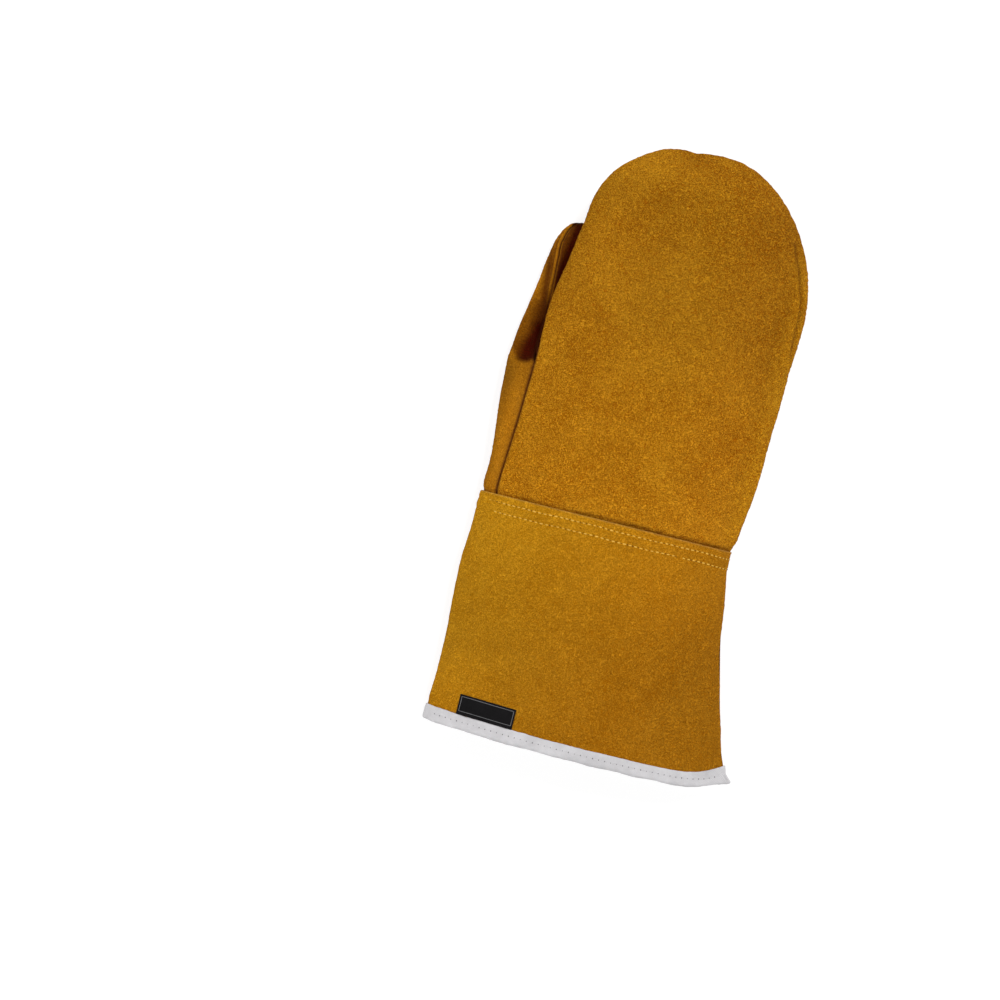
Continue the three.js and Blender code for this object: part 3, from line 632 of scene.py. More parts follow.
# Scale, detail, roughness and distortion of broad and medium patches, fuzz and pits
NOISES = ((15, 4, 0.55, 0.8), (110, 3, 0.6, 0.8), (1300, 1, 0.6, 0.6), (1000, 3, 0.65, 1.5))
MEDIUM_SHARE = 0.06
CONTRAST = 0.42
CURL_WIDTH = 0.14
PIT_RANGE = (0.30, 0.46)
PIT_TINT = (1.0, 1.1, 1.2)
HUES = ((1.0, 0.84, 1.0), (1.0, 1.16, 1.0))
# Colour of the painted shade in the slot between the thumb and the hand
PAINTED_SHADE_COLOUR = (0.11, 0.005, 0.04)
# Colour over the seams: darker seam lines, with painted shade in the grooves and folds beside them
SEAM_DIRT_AND_SHADE = (0.085, 0.019, 0.006)
SEAM_DIRT_AND_SHADE_SHARE = 0.93
CUT_EDGE = (0.56, 0.38, 0.15)
LINING_SHARE = 0.8
LINING_DARKNESS = 0.6
SHEEN_TINT = (1.0, 0.62, 0.12, 1)
CLOTH_BUMP = 0.00025


def new_material(name):
    material = bpy.data.materials.new(name)
    material.use_nodes = True
    return material, material.node_tree, material.node_tree.nodes["Principled BSDF"]


def set_inputs(node, **values):
    for key, value in values.items():
        node.inputs[key.replace("_", " ")].default_value = value


def feed(tree, socket, value):
    """Sets a socket to a number or colour, or links an output to it."""
    if isinstance(value, (int, float)):
        socket.default_value = value
    elif isinstance(value, tuple):
        socket.default_value = (*value, 1)
    else:
        tree.links.new(value, socket)


def noise_node(tree, place, scale, detail, roughness, distortion=0.0):
    node = tree.nodes.new("ShaderNodeTexNoise")
    set_inputs(node, Scale=scale, Detail=detail, Roughness=roughness, Distortion=distortion)
    tree.links.new(place, node.inputs["Vector"])
    return node.outputs[0]


def stops_node(tree, value, stops):
    node = tree.nodes.new("ShaderNodeValToRGB")
    for element, (place, colour) in zip(node.color_ramp.elements, stops):
        element.position = place
        element.color = (*colour, 1)
    tree.links.new(value, node.inputs["Fac"])
    return node.outputs["Color"]


def math_node(tree, operation, a, b=0.0):
    node = tree.nodes.new("ShaderNodeMath")
    node.operation = operation
    for socket, value in zip(node.inputs, (a, b)):
        feed(tree, socket, value)
    return node.outputs[0]


def mix_colours(tree, factor, a, b, blend="MIX"):
    node = tree.nodes.new("ShaderNodeMix")
    node.data_type = "RGBA"
    node.blend_type = blend
    inputs = {s.identifier: s for s in node.inputs}
    outputs = {s.identifier: s for s in node.outputs}
    for key, value in (("Factor_Float", factor), ("A_Color", a), ("B_Color", b)):
        feed(tree, inputs[key], value)
    return outputs["Result_Color"]


def object_place(tree, offset=(0, 0, 0)):
    place = tree.nodes.new("ShaderNodeTexCoord").outputs["Object"]
    mapping = tree.nodes.new("ShaderNodeMapping")
    set_inputs(mapping, Location=offset)
    tree.links.new(place, mapping.inputs["Vector"])
    return mapping.outputs["Vector"]


def attribute_value(tree, name):
    node = tree.nodes.new("ShaderNodeAttribute")
    node.attribute_name = name
    return node.outputs["Fac"]


def map_range(tree, value, low, high, to_low=0.0, to_high=1.0):
    node = tree.nodes.new("ShaderNodeMapRange")
    set_inputs(node, From_Min=low, From_Max=high, To_Min=to_low, To_Max=to_high)
    tree.links.new(value, node.inputs["Value"])
    return node.outputs["Result"]


def weighted(tree, *terms):
    """The sum of values, each times its weight."""
    total = math_node(tree, "MULTIPLY", *terms[0])
    for value, weight in terms[1:]:
        total = math_node(tree, "ADD", total, math_node(tree, "MULTIPLY", value, weight))
    return total


def add_bump(tree, shader, height, strength, distance):
    bump = tree.nodes.new("ShaderNodeBump")
    set_inputs(bump, Strength=strength, Distance=distance)
    tree.links.new(height, bump.inputs["Height"])
    tree.links.new(bump.outputs["Normal"], shader.inputs["Normal"])


def curls_node(tree, place, scale):
    """Short curled strokes in every direction."""
    soft = noise_node(tree, place, scale, detail=1, roughness=0.5, distortion=2.0)
    off = math_node(tree, "ABSOLUTE", math_node(tree, "SUBTRACT", soft, 0.5))
    return map_range(tree, off, 0.0, CURL_WIDTH, 1.0, 0.0)


def suede(name, light, dark, offset, share, pit, depth, patches, fuzzy, curl=560):
    """Split leather: mottled colour over a short nap in curled tufts."""
    material, tree, shader = new_material(name)
    place = object_place(tree, offset)
    broad, medium, fuzz, pits = (noise_node(tree, place, *values) for values in NOISES)
    curls = curls_node(tree, place, curl)
    sums = weighted(tree, (broad, patches), (medium, MEDIUM_SHARE), (curls, share), (fuzz, fuzzy))
    middle = 0.5 * (patches + MEDIUM_SHARE + share + fuzzy)
    colour = mix_colours(tree, map_range(tree, sums, middle - CONTRAST, middle + CONTRAST), dark, light)
    deep = tuple(1 - pit * part for part in PIT_TINT)
    holes = stops_node(tree, pits, zip(PIT_RANGE, (deep, WHITE)))
    gain = math_node(tree, "ADD", attribute_value(tree, "shade"), 1.0)
    hue = mix_colours(tree, map_range(tree, attribute_value(tree, "tint"), -2, 2), *HUES)
    # Painted shade: the thumb's colour darkened in the slot beside and beneath the hand
    shadow = mix_colours(tree, attribute_value(tree, "painted_slot_shade"), WHITE, PAINTED_SHADE_COLOUR)
    for factor in (holes, gain, hue, shadow):
        colour = mix_colours(tree, 1.0, colour, factor, "MULTIPLY")
    lining = tuple(LINING_DARKNESS * c for c in dark)
    # The seam mark darkens the seam lines and paints shade into the grooves and folds
    covers = (("seam", SEAM_DIRT_AND_SHADE_SHARE, SEAM_DIRT_AND_SHADE), ("cut", 1.0, CUT_EDGE), ("inside", LINING_SHARE, lining))
    for mark, part, cover in covers:
        factor = math_node(tree, "MULTIPLY", attribute_value(tree, mark), part)
        colour = mix_colours(tree, factor, colour, cover)
    tree.links.new(colour, shader.inputs["Base Color"])
    set_inputs(shader, Roughness=0.95, Specular_IOR_Level=0.02)
    set_inputs(shader, Sheen_Weight=0.04, Sheen_Roughness=0.5, Sheen_Tint=SHEEN_TINT)
    add_bump(tree, shader, weighted(tree, (curls, 0.6), (fuzz, 0.5), (pits, 1.0)), 1.0, depth)
    return material


def woven(name, light, dark, thread, roughness=0.8, shine=0.25):
    """Twill cloth with fine diagonal ribs."""
    material, tree, shader = new_material(name)
    place = object_place(tree)
    ribs = tree.nodes.new("ShaderNodeTexWave")
    ribs.bands_direction = "DIAGONAL"
    set_inputs(ribs, Scale=thread, Distortion=0.6, Detail=1.5)
    tree.links.new(place, ribs.inputs["Vector"])
    cloudy = noise_node(tree, place, scale=90, detail=4, roughness=0.6)
    level = weighted(tree, (ribs.outputs["Fac"], 0.35), (cloudy, 0.8))
    colour = mix_colours(tree, math_node(tree, "SUBTRACT", level, 0.1), dark, light)
    tree.links.new(colour, shader.inputs["Base Color"])
    set_inputs(shader, Roughness=roughness, Specular_IOR_Level=shine)
    add_bump(tree, shader, ribs.outputs["Fac"], 0.4, CLOTH_BUMP)
    return material


BACK = suede(
    "suede_back", light=(0.70, 0.323, 0.014), dark=(0.305, 0.088, 0.0002), offset=(0, 0, 0),
    share=0.7, pit=0.35, depth=0.0009, patches=0.8, fuzzy=1.6,
)
PALM = suede(
    "suede_palm", light=(0.73, 0.330, 0.015), dark=(0.34, 0.104, 0.0003), offset=(0.3, 0.1, 0),
    share=0.8, pit=0.36, depth=0.0009, patches=0.7, fuzzy=1.3, curl=420,
)
THUMB_SKIN = suede(
    "suede_thumb", light=(0.645, 0.278, 0.012), dark=(0.33, 0.113, 0.0005), offset=(0.7, 0.2, 0),
    share=0.55, pit=0.3, depth=0.0006, patches=0.6, fuzzy=1.3,
)
CUFF = suede(
    "suede_cuff", light=(0.755, 0.345, 0.015), dark=(0.42, 0.148, 0.0005), offset=(1.1, 0.4, 0),
    share=0.6, pit=0.3, depth=0.0008, patches=0.75, fuzzy=1.4,
)
TAPE = woven("twill_tape", (0.73, 0.715, 0.73), (0.37, 0.36, 0.37), thread=900, roughness=0.85)
LABEL_CLOTH = woven("label_cloth", (0.010, 0.009, 0.010), (0.003, 0.003, 0.003), thread=1500, shine=0.08)
LABEL_LINE = woven("label_line", (0.20, 0.20, 0.205), (0.12, 0.12, 0.125), thread=1500)
YELLOW_THREAD = woven("yellow_thread", (0.86, 0.52, 0.08), (0.64, 0.36, 0.035), thread=1800)
WHITE_THREAD = woven("white_thread", (0.64, 0.63, 0.64), (0.48, 0.47, 0.48), thread=1800)
# Dark dots of painted shade standing in for the needle holes in the tape
HEM_HOLE_SHADE = woven("hem_hole_shade", (0.20, 0.195, 0.205), (0.12, 0.115, 0.12), thread=1800)
# Painted shade of the needle holes in the leather
NEEDLE_HOLE_SHADE = woven("needle_hole_shade", (0.16, 0.06, 0.006), (0.09, 0.03, 0.003), thread=900, roughness=0.95)


# Sewn panels of the hand

HAND_ROLL = {"radius": 2.2, "depth": 1.15, "bulge": 0.45}
BULGE_WIDTH = 2.2
ROUNDED = 0.999
SEAM_FROM_Y = -12.0
HAND_ROUNDS = 10
PALM_ROW = 2.0
EDGE_FOLD = [(154, 197), (160.6, 181), (166.2, 165), (168.4, 150), (168.6, 128)]
SIDE_DENT = [(153, 158), (155, 150)]
TIP_FOLD = [(80, 243), (80.5, 232), (82, 222)]
INNER_FOLD = [(2, 150), (9, 143), (12, 128)]
TIP_DIPS = table("x width depth", [[92, 20, 1.3], [80, 7, 1.0], [40, 9, 1.0], [60, 6, -0.8]])
TIP_DIPS_Y = (205, 240)
THUMB_ROLL = table("y x", [
    [118, 13.1], [126, 12.8], [134, 12.0], [142, 11.6],
    [150, 11.2], [158, 10.7], [166, 11.0], [174, 13.8],
])
SLOT_RIM = (5.6, 82.6)
SLOT_RIM_BEND = 0.055
SLOT_REACH = (4.0, 9.0)
SLOT_DEPTH = 6.0
BACK_SHADE = [
    (-0.08,),
    (0.26, ("y", 140, 60)),
    (0.10, ("y", 45, 12)),
    (0.12, ("x", 75, 45), ("y", 85, 115), ("y", 205, 175)),
    (0.22, ("x", 155, 166)),
    (0.13, ("y", 205, 230)),
    (0.10, ("x", 160, 168), ("y", 115, 135)),
]
HAND_TINT = [(-0.2,), (-0.5, ("x", 100, 140)), (0.9, ("x", 152, 166))]
# Thumb tone: painted shade along its left edge, darker towards the slot, lighter further right
THUMB_SHADE = [(0.10, ("x", 2, 7)), (-0.24, ("x", 5, -1), ("y", 92, 70)), (-0.24, ("y", 50, 82))]
THUMB_TINT = -0.8


def inward_way(normal):
    """The way out of a seam: level where two panels meet in an edge."""
    flat = normal * (1, 1, 0)
    share = ramp(0.2, 0.4, np.linalg.norm(flat, axis=1)) * ramp(0.75, 0.35, normal[:, 2])
    return unit(normal + (unit(flat) - normal) * share[:, None])


def pull_seam(outer, normal, d, radius, depth, bulge):
    """A surface turned in at its seam, with a slight bulge beside it, above the floor."""
    t = clamp01(1 - d / radius)
    moved = bulge * bell(d, radius, BULGE_WIDTH) - depth * (1 - np.sqrt(1 - t * t * ROUNDED))
    outer = outer + inward_way(normal) * moved[:, None]
    outer[:, 2] = np.maximum(outer[:, 2], 0.0)
    return outer


def dip_tip(points):
    """The shallow dips in the edge of the fingertips."""
    points = points.copy()
    x, y = points[:, 0], points[:, 1]
    dips = sum(depth * bell(x, middle, width) for middle, width, depth in zip(*TIP_DIPS.values()))
    points[:, 1] -= dips * ramp(*TIP_DIPS_Y, y)
    return points


def hand_edge(y):
    return np.interp(y, MITT_LEFT["y"], MITT_LEFT["x"])


def slot_share(points):
    """Where the thumb sinks into the slot beside the hand, from 0 to 1."""
    x, y = points[:, 0], points[:, 1]
    rim = SLOT_RIM[1] + SLOT_RIM_BEND * (x - SLOT_RIM[0]) ** 2
    return ramp(0, 1, (y - rim) / mix(*SLOT_REACH, ramp(4, -4, x))) * ramp(48, 24, x)


def slot_painted_shade(points):
    """Painted shade on the thumb beside the hand and beneath it: how far its colour is darkened where little
    light reaches.
    """
    x, y, z = points.T
    gap = hand_edge(y) - x
    low = mix(0.70, 0.55, ramp(92, 104, y))
    far, near = mix(15.0, 13.0, ramp(95, 108, y)), mix(7.0, 3.0, ramp(92, 108, y))
    beside = (low + (1 - low) * ramp(far, near, gap)) * mix(1.0, 0.88, ramp(108, 116, y))
    off = x - np.interp(y, THUMB_ROLL["y"], THUMB_ROLL["x"])
    outer = 0.85 * ramp(-9, -3.2, off) * (1 - 0.92 * bell(off, 0, 1.7)) * ramp(182, 146, y)
    inner = ramp(0.8, 2.4, off) * (0.78 + 0.2 * ramp(6, 2, gap))
    beneath = np.maximum(outer, inner)
    return slot_share(points) * mix(beside, beneath, ramp(120, 136, y)) * ramp(3, 7, z)


def sink_thumb(points):
    """The fold where the thumb turns down beneath the hand."""
    points = points.copy()
    x, y, z = points.T
    near = ramp(15, 2.5, hand_edge(y) - x)
    share = slot_share(points) * ramp(140, 112, y) * ramp(-4, 3, x) * ramp(7, 13, z)
    points[:, 2] -= SLOT_DEPTH * share * (0.5 + 0.5 * near)
    return points


def roll_line(points, d):
    """The line where the thumb's rolled seam meets its outer leather."""
    return bell(d, 2.5, 0.5) * ramp(112, 124, points[:, 1]) * ramp(5, 8, points[:, 2])


def hand_shade(x, y):
    """Lighter and darker areas of the back of the hand, over 0 where it is lighter; the darker rim along its
    left edge towards the fingertips is painted shade.
    """
    # Painted shade along the left edge of the hand towards the fingertips
    rim = fading(x - hand_edge(y), 3.5) * ramp(95, 140, y) * ramp(230, 200, y)
    return tone(BACK_SHADE, x, y) - 0.3 * rim


def hand_marks(name, points, d):
    """The values at each point that the leather's colour takes up."""
    x, y, z = points.T
    top = ramp(10, 16, z)
    # Painted shade in the groove just above the cuff's edge and along the fold near the right edge
    groove_shade = fading(y - 1, 1.3) * ramp(-6, 0, y) * top * (0.4 + 0.6 * ramp(20, 130, x))
    fold = bell(plan_distance(points, EDGE_FOLD)[0], 0, 0.8) * top * (x > 100)
    seam = bell(d, 0, mix(1.4, 0.7, ramp(90, 112, y)))
    seam = np.maximum.reduce([seam, 0.45 * groove_shade, 0.5 * fold])
    if "thumb" not in name:
        shade = top * hand_shade(x, y) * (name == "mitt_back")
        return {"seam": seam, "shade": shade, "tint": tone(HAND_TINT, x, y)}
    # Painted shade along the thumb's rolled seam line, and a darker band along its seams below the fork
    seam = np.maximum(seam, 0.6 * roll_line(points, d) + 0.5 * fading(d, 2.0) * (y < 86))
    shade = ramp(4, 10, z) * tone(THUMB_SHADE, x, y) * ramp(92, 84, y)
    tint = np.full(len(points), THUMB_TINT)
    return {"seam": seam, "painted_slot_shade": slot_painted_shade(points), "shade": shade, "tint": tint}


def sew(name, node, grids, material, features):
    base, quads = weld(grids)
    base, edges = relax(sink_thumb(base) if "thumb" in name else dip_tip(base), quads, HAND_ROUNDS)
    line = dense_line(base, edges)
    d = distance_to(base, line[line[:, 1] > SEAM_FROM_Y])
    lift = features(base, d) + ripples(base, (0.08, 2.9, 5), (0.10, 1.8, 6), count=11)
    piece, tree = leather_sheet(name, base, quads, lift, d, HAND_ROLL, material, hand_marks(name, base, d))
    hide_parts(node)
    return tree


LOWER_Y = np.concatenate([
    [-WRIST_LAP], np.arange(-12, 0, 1.6), np.arange(0, 3.2, 0.4), np.arange(3.2, 12, 0.9),
    np.linspace(12, FORK_Y, 64),
])
UPPER = np.linspace(0, LAST_ROW, 168)[1:]
PIVOT_ROW = UPPER[UPPER >= 1][0]
THUMB_ROWS = np.linspace(0, THUMB_LAST, 96)


def below(name):
    return [hand_halves(y)[name] for y in LOWER_Y]


def back_features(points, d):
    x, y = points[:, 0], points[:, 1]
    ease = ramp(0, 14, d)
    lift = ripples(points, (0.75, 62, 11)) * ease
    lift += ripples(points, (0.3, 24, 12)) * ramp(0, 8, d)
    lift += ripples(points, (0.13, 9, 13)) * fading(d, 5.0) * ramp(-5, 20, y)
    lift += crease(points, EDGE_FOLD, width=0.9, depth=1.5, rim=0.3)
    lift += crease(points, SIDE_DENT, width=1.5, depth=0.5)
    lift += crease(points, TIP_FOLD, width=3.2, depth=0.7)
    lift += 0.8 * bell(d, 2.6, 2.4) * (x < 45) * ramp(0, 12, y) * ramp(190, 165, y)
    return lift + ripples(points, (0.22, 6.5, 14)) * fading(y, 7.0) * ease


def palm_features(points, d):
    y, z = points[:, 1], points[:, 2]
    lift = ripples(points, (0.6, 55, 21)) * ramp(0, 14, d) * ramp(2, 12, z)
    lift += ripples(points, (0.22, 9, 22)) * fading(d, 5.0) * ramp(1, 6, z)
    lift += ripples(points, (0.25, 20, 23)) * ramp(0, 8, d)
    return lift - 0.5 * ramp(3, 1, z) * bell(y, PALM_ROW, STITCH_GROOVE)


def thumb_outer_features(points, d):
    lift = ripples(points, (0.5, 40, 31)) * ramp(0, 10, d)
    lift += ripples(points, (0.12, 8, 32)) * fading(d, 5.0)
    return lift - 0.45 * roll_line(points, d)


def thumb_inner_features(points, d):
    lift = ripples(points, (0.5, 30, 41)) * ramp(0, 10, d)
    lift += ripples(points, (0.15, 8, 42)) * fading(d, 5.0)
    return lift + crease(points, INNER_FOLD, width=1.8, depth=0.9)


def palm_left_rows():
    corner = np.array([THUMB["edgeX"][0], FORK_Y, THUMB["edgeZ"][0]])
    turning = [taut_row(corner, palm_middle(row)) for row in UPPER[UPPER < PIVOT_ROW]]
    crotch = np.vstack([thumb_inner("right", 0), thumb_inner("left", 0)[::-1][1:]])
    fan = [taut_row(point, palm_middle(PIVOT_ROW)) for point in crotch]
    return below("palmLeft") + turning + fan + [mitt_palm("left", row) for row in UPPER]


sew("mitt_back", "back_panel", [
    (below("backLeft") + [mitt_back("left", row) for row in UPPER], False),
    (below("backRight") + [mitt_back("right", row) for row in UPPER], True),
], BACK, back_features)
palm_tree = sew("mitt_palm", "palm_panel", [
    (palm_left_rows(), True),
    (below("palmRight") + [mitt_palm("right", row) for row in UPPER], False),
], PALM, palm_features)
sew("thumb_outer_skin", "thumb_outer", [
    (below("outerLeft") + [thumb_outer("left", row) for row in THUMB_ROWS[1:]], True),
    (below("outerRight") + [thumb_outer("right", row) for row in THUMB_ROWS[1:]], False),
], THUMB_SKIN, thumb_outer_features)
sew("thumb_inner_skin", "thumb_inner", [
    ([thumb_inner("left", row) for row in THUMB_ROWS], False),
    ([thumb_inner("right", row) for row in THUMB_ROWS], True),
], THUMB_SKIN, thumb_inner_features)


# Cuff, an open sheet whose edges meet at the little-finger side

CUFF_ROWS_Y = np.concatenate([
    [0, -0.3, -0.8, -1.5], np.arange(-2.5, -13, -0.8), np.linspace(-14, -148.6, 104),
])
CUFF_ROUNDS = 6
EDGE_GAP = 0.16
CORNER_TUCK = 0.7
CUFF_ROLL = {"radius": 1.8, "depth": 0.8, "bulge": 0.2}
CUFF_SHADE = [
    (0.02,),
    (0.02, ("x", 60, 30), ("y", -30, -5)),
    (-0.17, ("y", -15, -90)),
    (0.14, ("x", 45, 20), ("y", -95, -122)),
    (-0.08, ("x", 115, 150)),
]


def hem_shift(x, y):
    return along(HEM_RISE, "rise", x) * ramp(*HEM_RISE_Y, y)


def cuff_loop(y, distance=0.0):
    """A section of the cuff from the little-finger edge over the back and under the palm."""
    row, halves = tube_halves(y)
    order = ["backRight", "backLeft", "outerLeft", "outerRight", "palmLeft", "palmRight"]
    parts = [halves[name][::-1] if k % 2 else halves[name] for k, name in enumerate(order)]
    loop = np.vstack([part[:-1] for part in parts])
    x = loop[:, 0].copy()
    loop = inset(loop, row, distance, distance, distance)
    loop[:, 1] = y + hem_shift(x, y)
    return loop


def closed(loop):
    return np.vstack([loop, loop[:1]])


def make_cuff():
    grid = np.array([closed(cuff_loop(y)) for y in CUFF_ROWS_Y])
    grid[:, 0, 2] += EDGE_GAP
    grid[:, -1, 2] -= EDGE_GAP
    base, quads = weld([(grid, False)])
    base, edges = relax(base, quads, CUFF_ROUNDS)
    base[:, 0] -= CORNER_TUCK * ramp(-8, 0, base[:, 1]) * ramp(150, 165, base[:, 0])
    x, y, z = base.T
    line = dense_line(base, edges)
    d = distance_to(base, line[(line[:, 0] > 150) & (line[:, 1] < -1)])
    from_hem = distance_to(base, line[line[:, 1] < -134])
    from_wrist = np.maximum(0, -y)
    over = ramp(8, 14, z)
    lift = ripples(base, (0.7, 70, 51)) * ramp(2, 30, from_wrist)
    lift += ripples(base, (0.3, 26, 52))
    lift *= (ramp(0, 6, z) * 0.85 + 0.15) * ramp(9, 15, from_hem)
    for row in STITCH_ROWS:
        lift -= 0.28 * bell(y, row, STITCH_GROOVE) * over
    lift += 0.22 * bell(y, -7.8, 1.6) * over
    lift -= 0.3 * bell(from_wrist, 0, 0.45)
    lift += ripples(base, (0.08, 2.9, 53), (0.05, 1.9, 54), count=11)
    marks = {
        "seam": 0.4 * fading(d, 0.8),
        "shade": over * (tone(CUFF_SHADE, x, y) + 0.07 * bell(y, -2.4, 2.2)),
        "tint": 0.8 - 1.9 * ramp(0, 200, x - 0.5 * y),
        "cut": mix(0.75, 0.28, over) * bell(from_wrist, 0, 0.6),
    }
    piece, tree = leather_sheet("cuff_skin", base, quads, lift, d, CUFF_ROLL, CUFF, marks)
    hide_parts("cuff")
    return tree


cuff_tree = make_cuff()


# Hem binding

# Distance out of the cuff's outer face and distance from the hem, round the folded tape
TAPE_SECTION = [
    (0.15, 9.3), (0.75, 9.42), (0.95, 9.1), (1.0, 8.4), (1.02, 7.4), (1.0, 6.2), (0.92, 5.2), (1.0, 4.2),
    (1.08, 3.0), (1.1, 2.0), (1.05, 1.2), (0.85, 0.6), (0.4, 0.2), (-0.4, 0.0), (-1.0, 0.0), (-1.7, 0.1),
    (-2.5, 0.4), (-2.95, 1.0), (-3.1, 2.0), (-3.1, 4.0), (-3.05, 6.0), (-3.0, 7.6), (-2.8, 8.3), (-2.2, 8.4),
    (-2.05, 7.0), (-2.05, 4.0), (-2.05, 1.2), (-1.0, 0.95), (0.02, 1.2), (0.04, 4.0), (0.04, 7.0),
]
TAPE_END_RISE = 1.9
TAPE_END_SHIFT = (2.4, -0.7, 0.8)


def make_binding():
    rings = []
    for out, up in TAPE_SECTION:
        loop = cuff_loop(-CUFF_LENGTH + up, -out)
        from_end = loop[:, 0].max() - loop[:, 0]
        if out > 0:
            loop[:, 1] += TAPE_END_RISE * ramp(6, 9.5, up) * ramp(26, 0, from_end)
        if out > -1.2:
            corner = bell(from_end, 0, 3.4) * (1 - ramp(0, 6, up))
            way = np.where(np.arange(len(loop)) < len(loop) / 2, 1.0, -1.0) * ramp(0, 1.6, from_end)
            for axis, share in enumerate((1, 1, way)):
                loop[:, axis] += TAPE_END_SHIFT[axis] * corner * share
        rings.append(closed(loop))
    rings.append(rings[0])
    base, quads = weld([(np.array(rings), False)])
    lift = ripples(base, (0.22, 16, 61), (0.10, 4.5, 62), (0.05, 2, 63))
    outer = base + normals_of(base, quads, 0) * lift[:, None]
    outer[:, 2] = np.maximum(outer[:, 2], 0.0)
    piece = add_mesh("binding_tape", outer, face_list(quads), TAPE)
    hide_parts("hem_binding")
    return BVHTree.FromPolygons(outer.tolist(), face_list(quads))


tape_tree = make_binding()


# Thread

STITCH_FROM_X = (7.0, 12.0)
STITCH_TO_X = 162.8
MISSED_STITCH_X = 130.5
MISSED_REACH = 1.9
HEM_STITCH_Y = -CUFF_LENGTH + 5.2
PITCH = {"wrist": 3.6, "hem": 3.9, "palm": 3.4}
# Length, radius and height over the sheet of each thread and needle hole
WRIST_THREAD = (2.4, 0.40, -0.02)
WRIST_HOLE = (0.8, 0.36, -0.10)
HEM_THREAD = (2.4, 0.28, -0.10)
HEM_HOLE = (0.8, 0.42, -0.14)
HEM_THREAD_BENEATH = (2.4, 0.28, -0.24)
PALM_THREAD = (2.3, 0.32, -0.05)
STITCH_CELLS = (7, 8)
LINE_STEP = 0.5


def surface_line(tree, y_of, from_x, to_x, pitch, under=False):
    """Points, directions and normals at even steps along a line on a surface."""
    fine = []
    for x in np.arange(from_x, to_x, LINE_STEP):
        y = y_of(x)
        hit = height_at(tree, x, y + float(hem_shift(x, y)), under)
        if hit:
            fine.append(tuple(hit))
    fine = np.array(fine)
    fine[2:-2, 2] = np.convolve(fine[:, 2], np.full(5, 0.2), "valid")
    reached = np.concatenate([[0], np.cumsum(np.linalg.norm(np.diff(fine, axis=0), axis=1))])
    wanted = np.arange(0, reached[-1], pitch)
    points, ahead = (
        np.column_stack([np.interp(places, reached, column) for column in fine.T])
        for places in (wanted, wanted + LINE_STEP)
    )
    ways = unit(ahead - points)
    ups = np.cross(ways, [0, 1.0, 0])
    ups *= np.where((ups[:, 2:3] < 0) != under, -1.0, 1.0)
    return points, ways, unit(ups)


def make_stitches(name, runs, material, seed, spread=0.0, faded=0.0):
    """Short bent threads, each a capsule whose ends dip into the sheet."""
    draw = np.random.default_rng(seed)
    points = []
    faces = []
    sides, rings = STITCH_CELLS
    last = (rings - 1) * sides
    tube = []
    for a in range(last):
        b = a + 1 if (a + 1) % sides else a + 1 - sides
        tube.append([a, b, b + sides, a + sides])
    tube += [list(range(sides))[::-1], list(range(last, last + sides))]
    for places, ways, ups, length, radius, sink in runs:
        for p, way, up in zip(places, ways, ups):
            turn = draw.normal(0, 0.06)
            way = way * math.cos(turn) + np.cross(up, way) * math.sin(turn)
            across = np.cross(up, way)
            size = draw.uniform(0.85, 1.12)
            deep = sink - abs(draw.normal(0, spread)) - faded * ramp(26, 4, p[0])
            start = len(points)
            for i in range(rings):
                t = i / (rings - 1) * 2 - 1
                r = radius * size * math.sqrt(max(0.02, 1 - abs(t) ** 4))
                bend = deep - radius * (0.9 * t ** 4 + 0.25 * t * t)
                centre = p + way * t * length / 2 * size + up * bend
                for k in range(sides):
                    a = 2 * math.pi * k / sides
                    points.append(centre + across * r * math.cos(a) * 1.1 + up * r * math.sin(a))
            faces += [[start + v for v in face] for face in tube]
    piece = add_mesh(name, np.array(points), faces, material, smooth_angle=60)


def halfway(places, ways, ups):
    """The needle holes between neighbouring stitches."""
    return places + ways * np.linalg.norm(places[1] - places[0]) * 0.5, ways, ups


def wrist_line(row):
    return lambda x: row + 0.25 * math.sin(x / 11.0 + row) + 0.12 * math.sin(x / 3.7)


def wrist_stitch():
    runs = []
    holes = []
    for row, from_x in zip(STITCH_ROWS, STITCH_FROM_X):
        line = surface_line(cuff_tree, wrist_line(row), from_x, STITCH_TO_X, PITCH["wrist"])
        if row == STITCH_ROWS[-1]:
            keep = np.abs(line[0][:, 0] - MISSED_STITCH_X) > MISSED_REACH
            line = tuple(part[keep] for part in line)
        runs.append((*line, *WRIST_THREAD))
        holes.append((*halfway(*line), *WRIST_HOLE))
    make_stitches("wrist_stitches", runs, YELLOW_THREAD, 71, spread=0.06, faded=0.28)
    # Dark capsules between the stitches: painted shade of the needle holes
    make_stitches("wrist_needle_holes", holes, NEEDLE_HOLE_SHADE, 72)


def hem_stitch():
    line = surface_line(tape_tree, lambda x: HEM_STITCH_Y, 4.0, 186.0, PITCH["hem"])
    make_stitches("hem_stitches", [(*line, *HEM_THREAD)], WHITE_THREAD, 73)
    # Grey dots between the stitches: painted shade of the needle holes in the tape
    make_stitches("hem_needle_holes", [(*halfway(*line), *HEM_HOLE)], HEM_HOLE_SHADE, 74)
    line = surface_line(tape_tree, lambda x: HEM_STITCH_Y, 6.0, 184.0, PITCH["hem"], under=True)
    make_stitches("hem_stitches_beneath", [(*line, *HEM_THREAD_BENEATH)], WHITE_THREAD, 75)


def palm_stitch():
    line = surface_line(
        palm_tree, lambda x: PALM_ROW + 0.2 * math.sin(x / 6.0), 68.0, 150.0, PITCH["palm"], under=True,
    )
    make_stitches("palm_stitches", [(*line, *PALM_THREAD)], YELLOW_THREAD, 76, spread=0.04)


wrist_stitch()
hem_stitch()
palm_stitch()


# Label

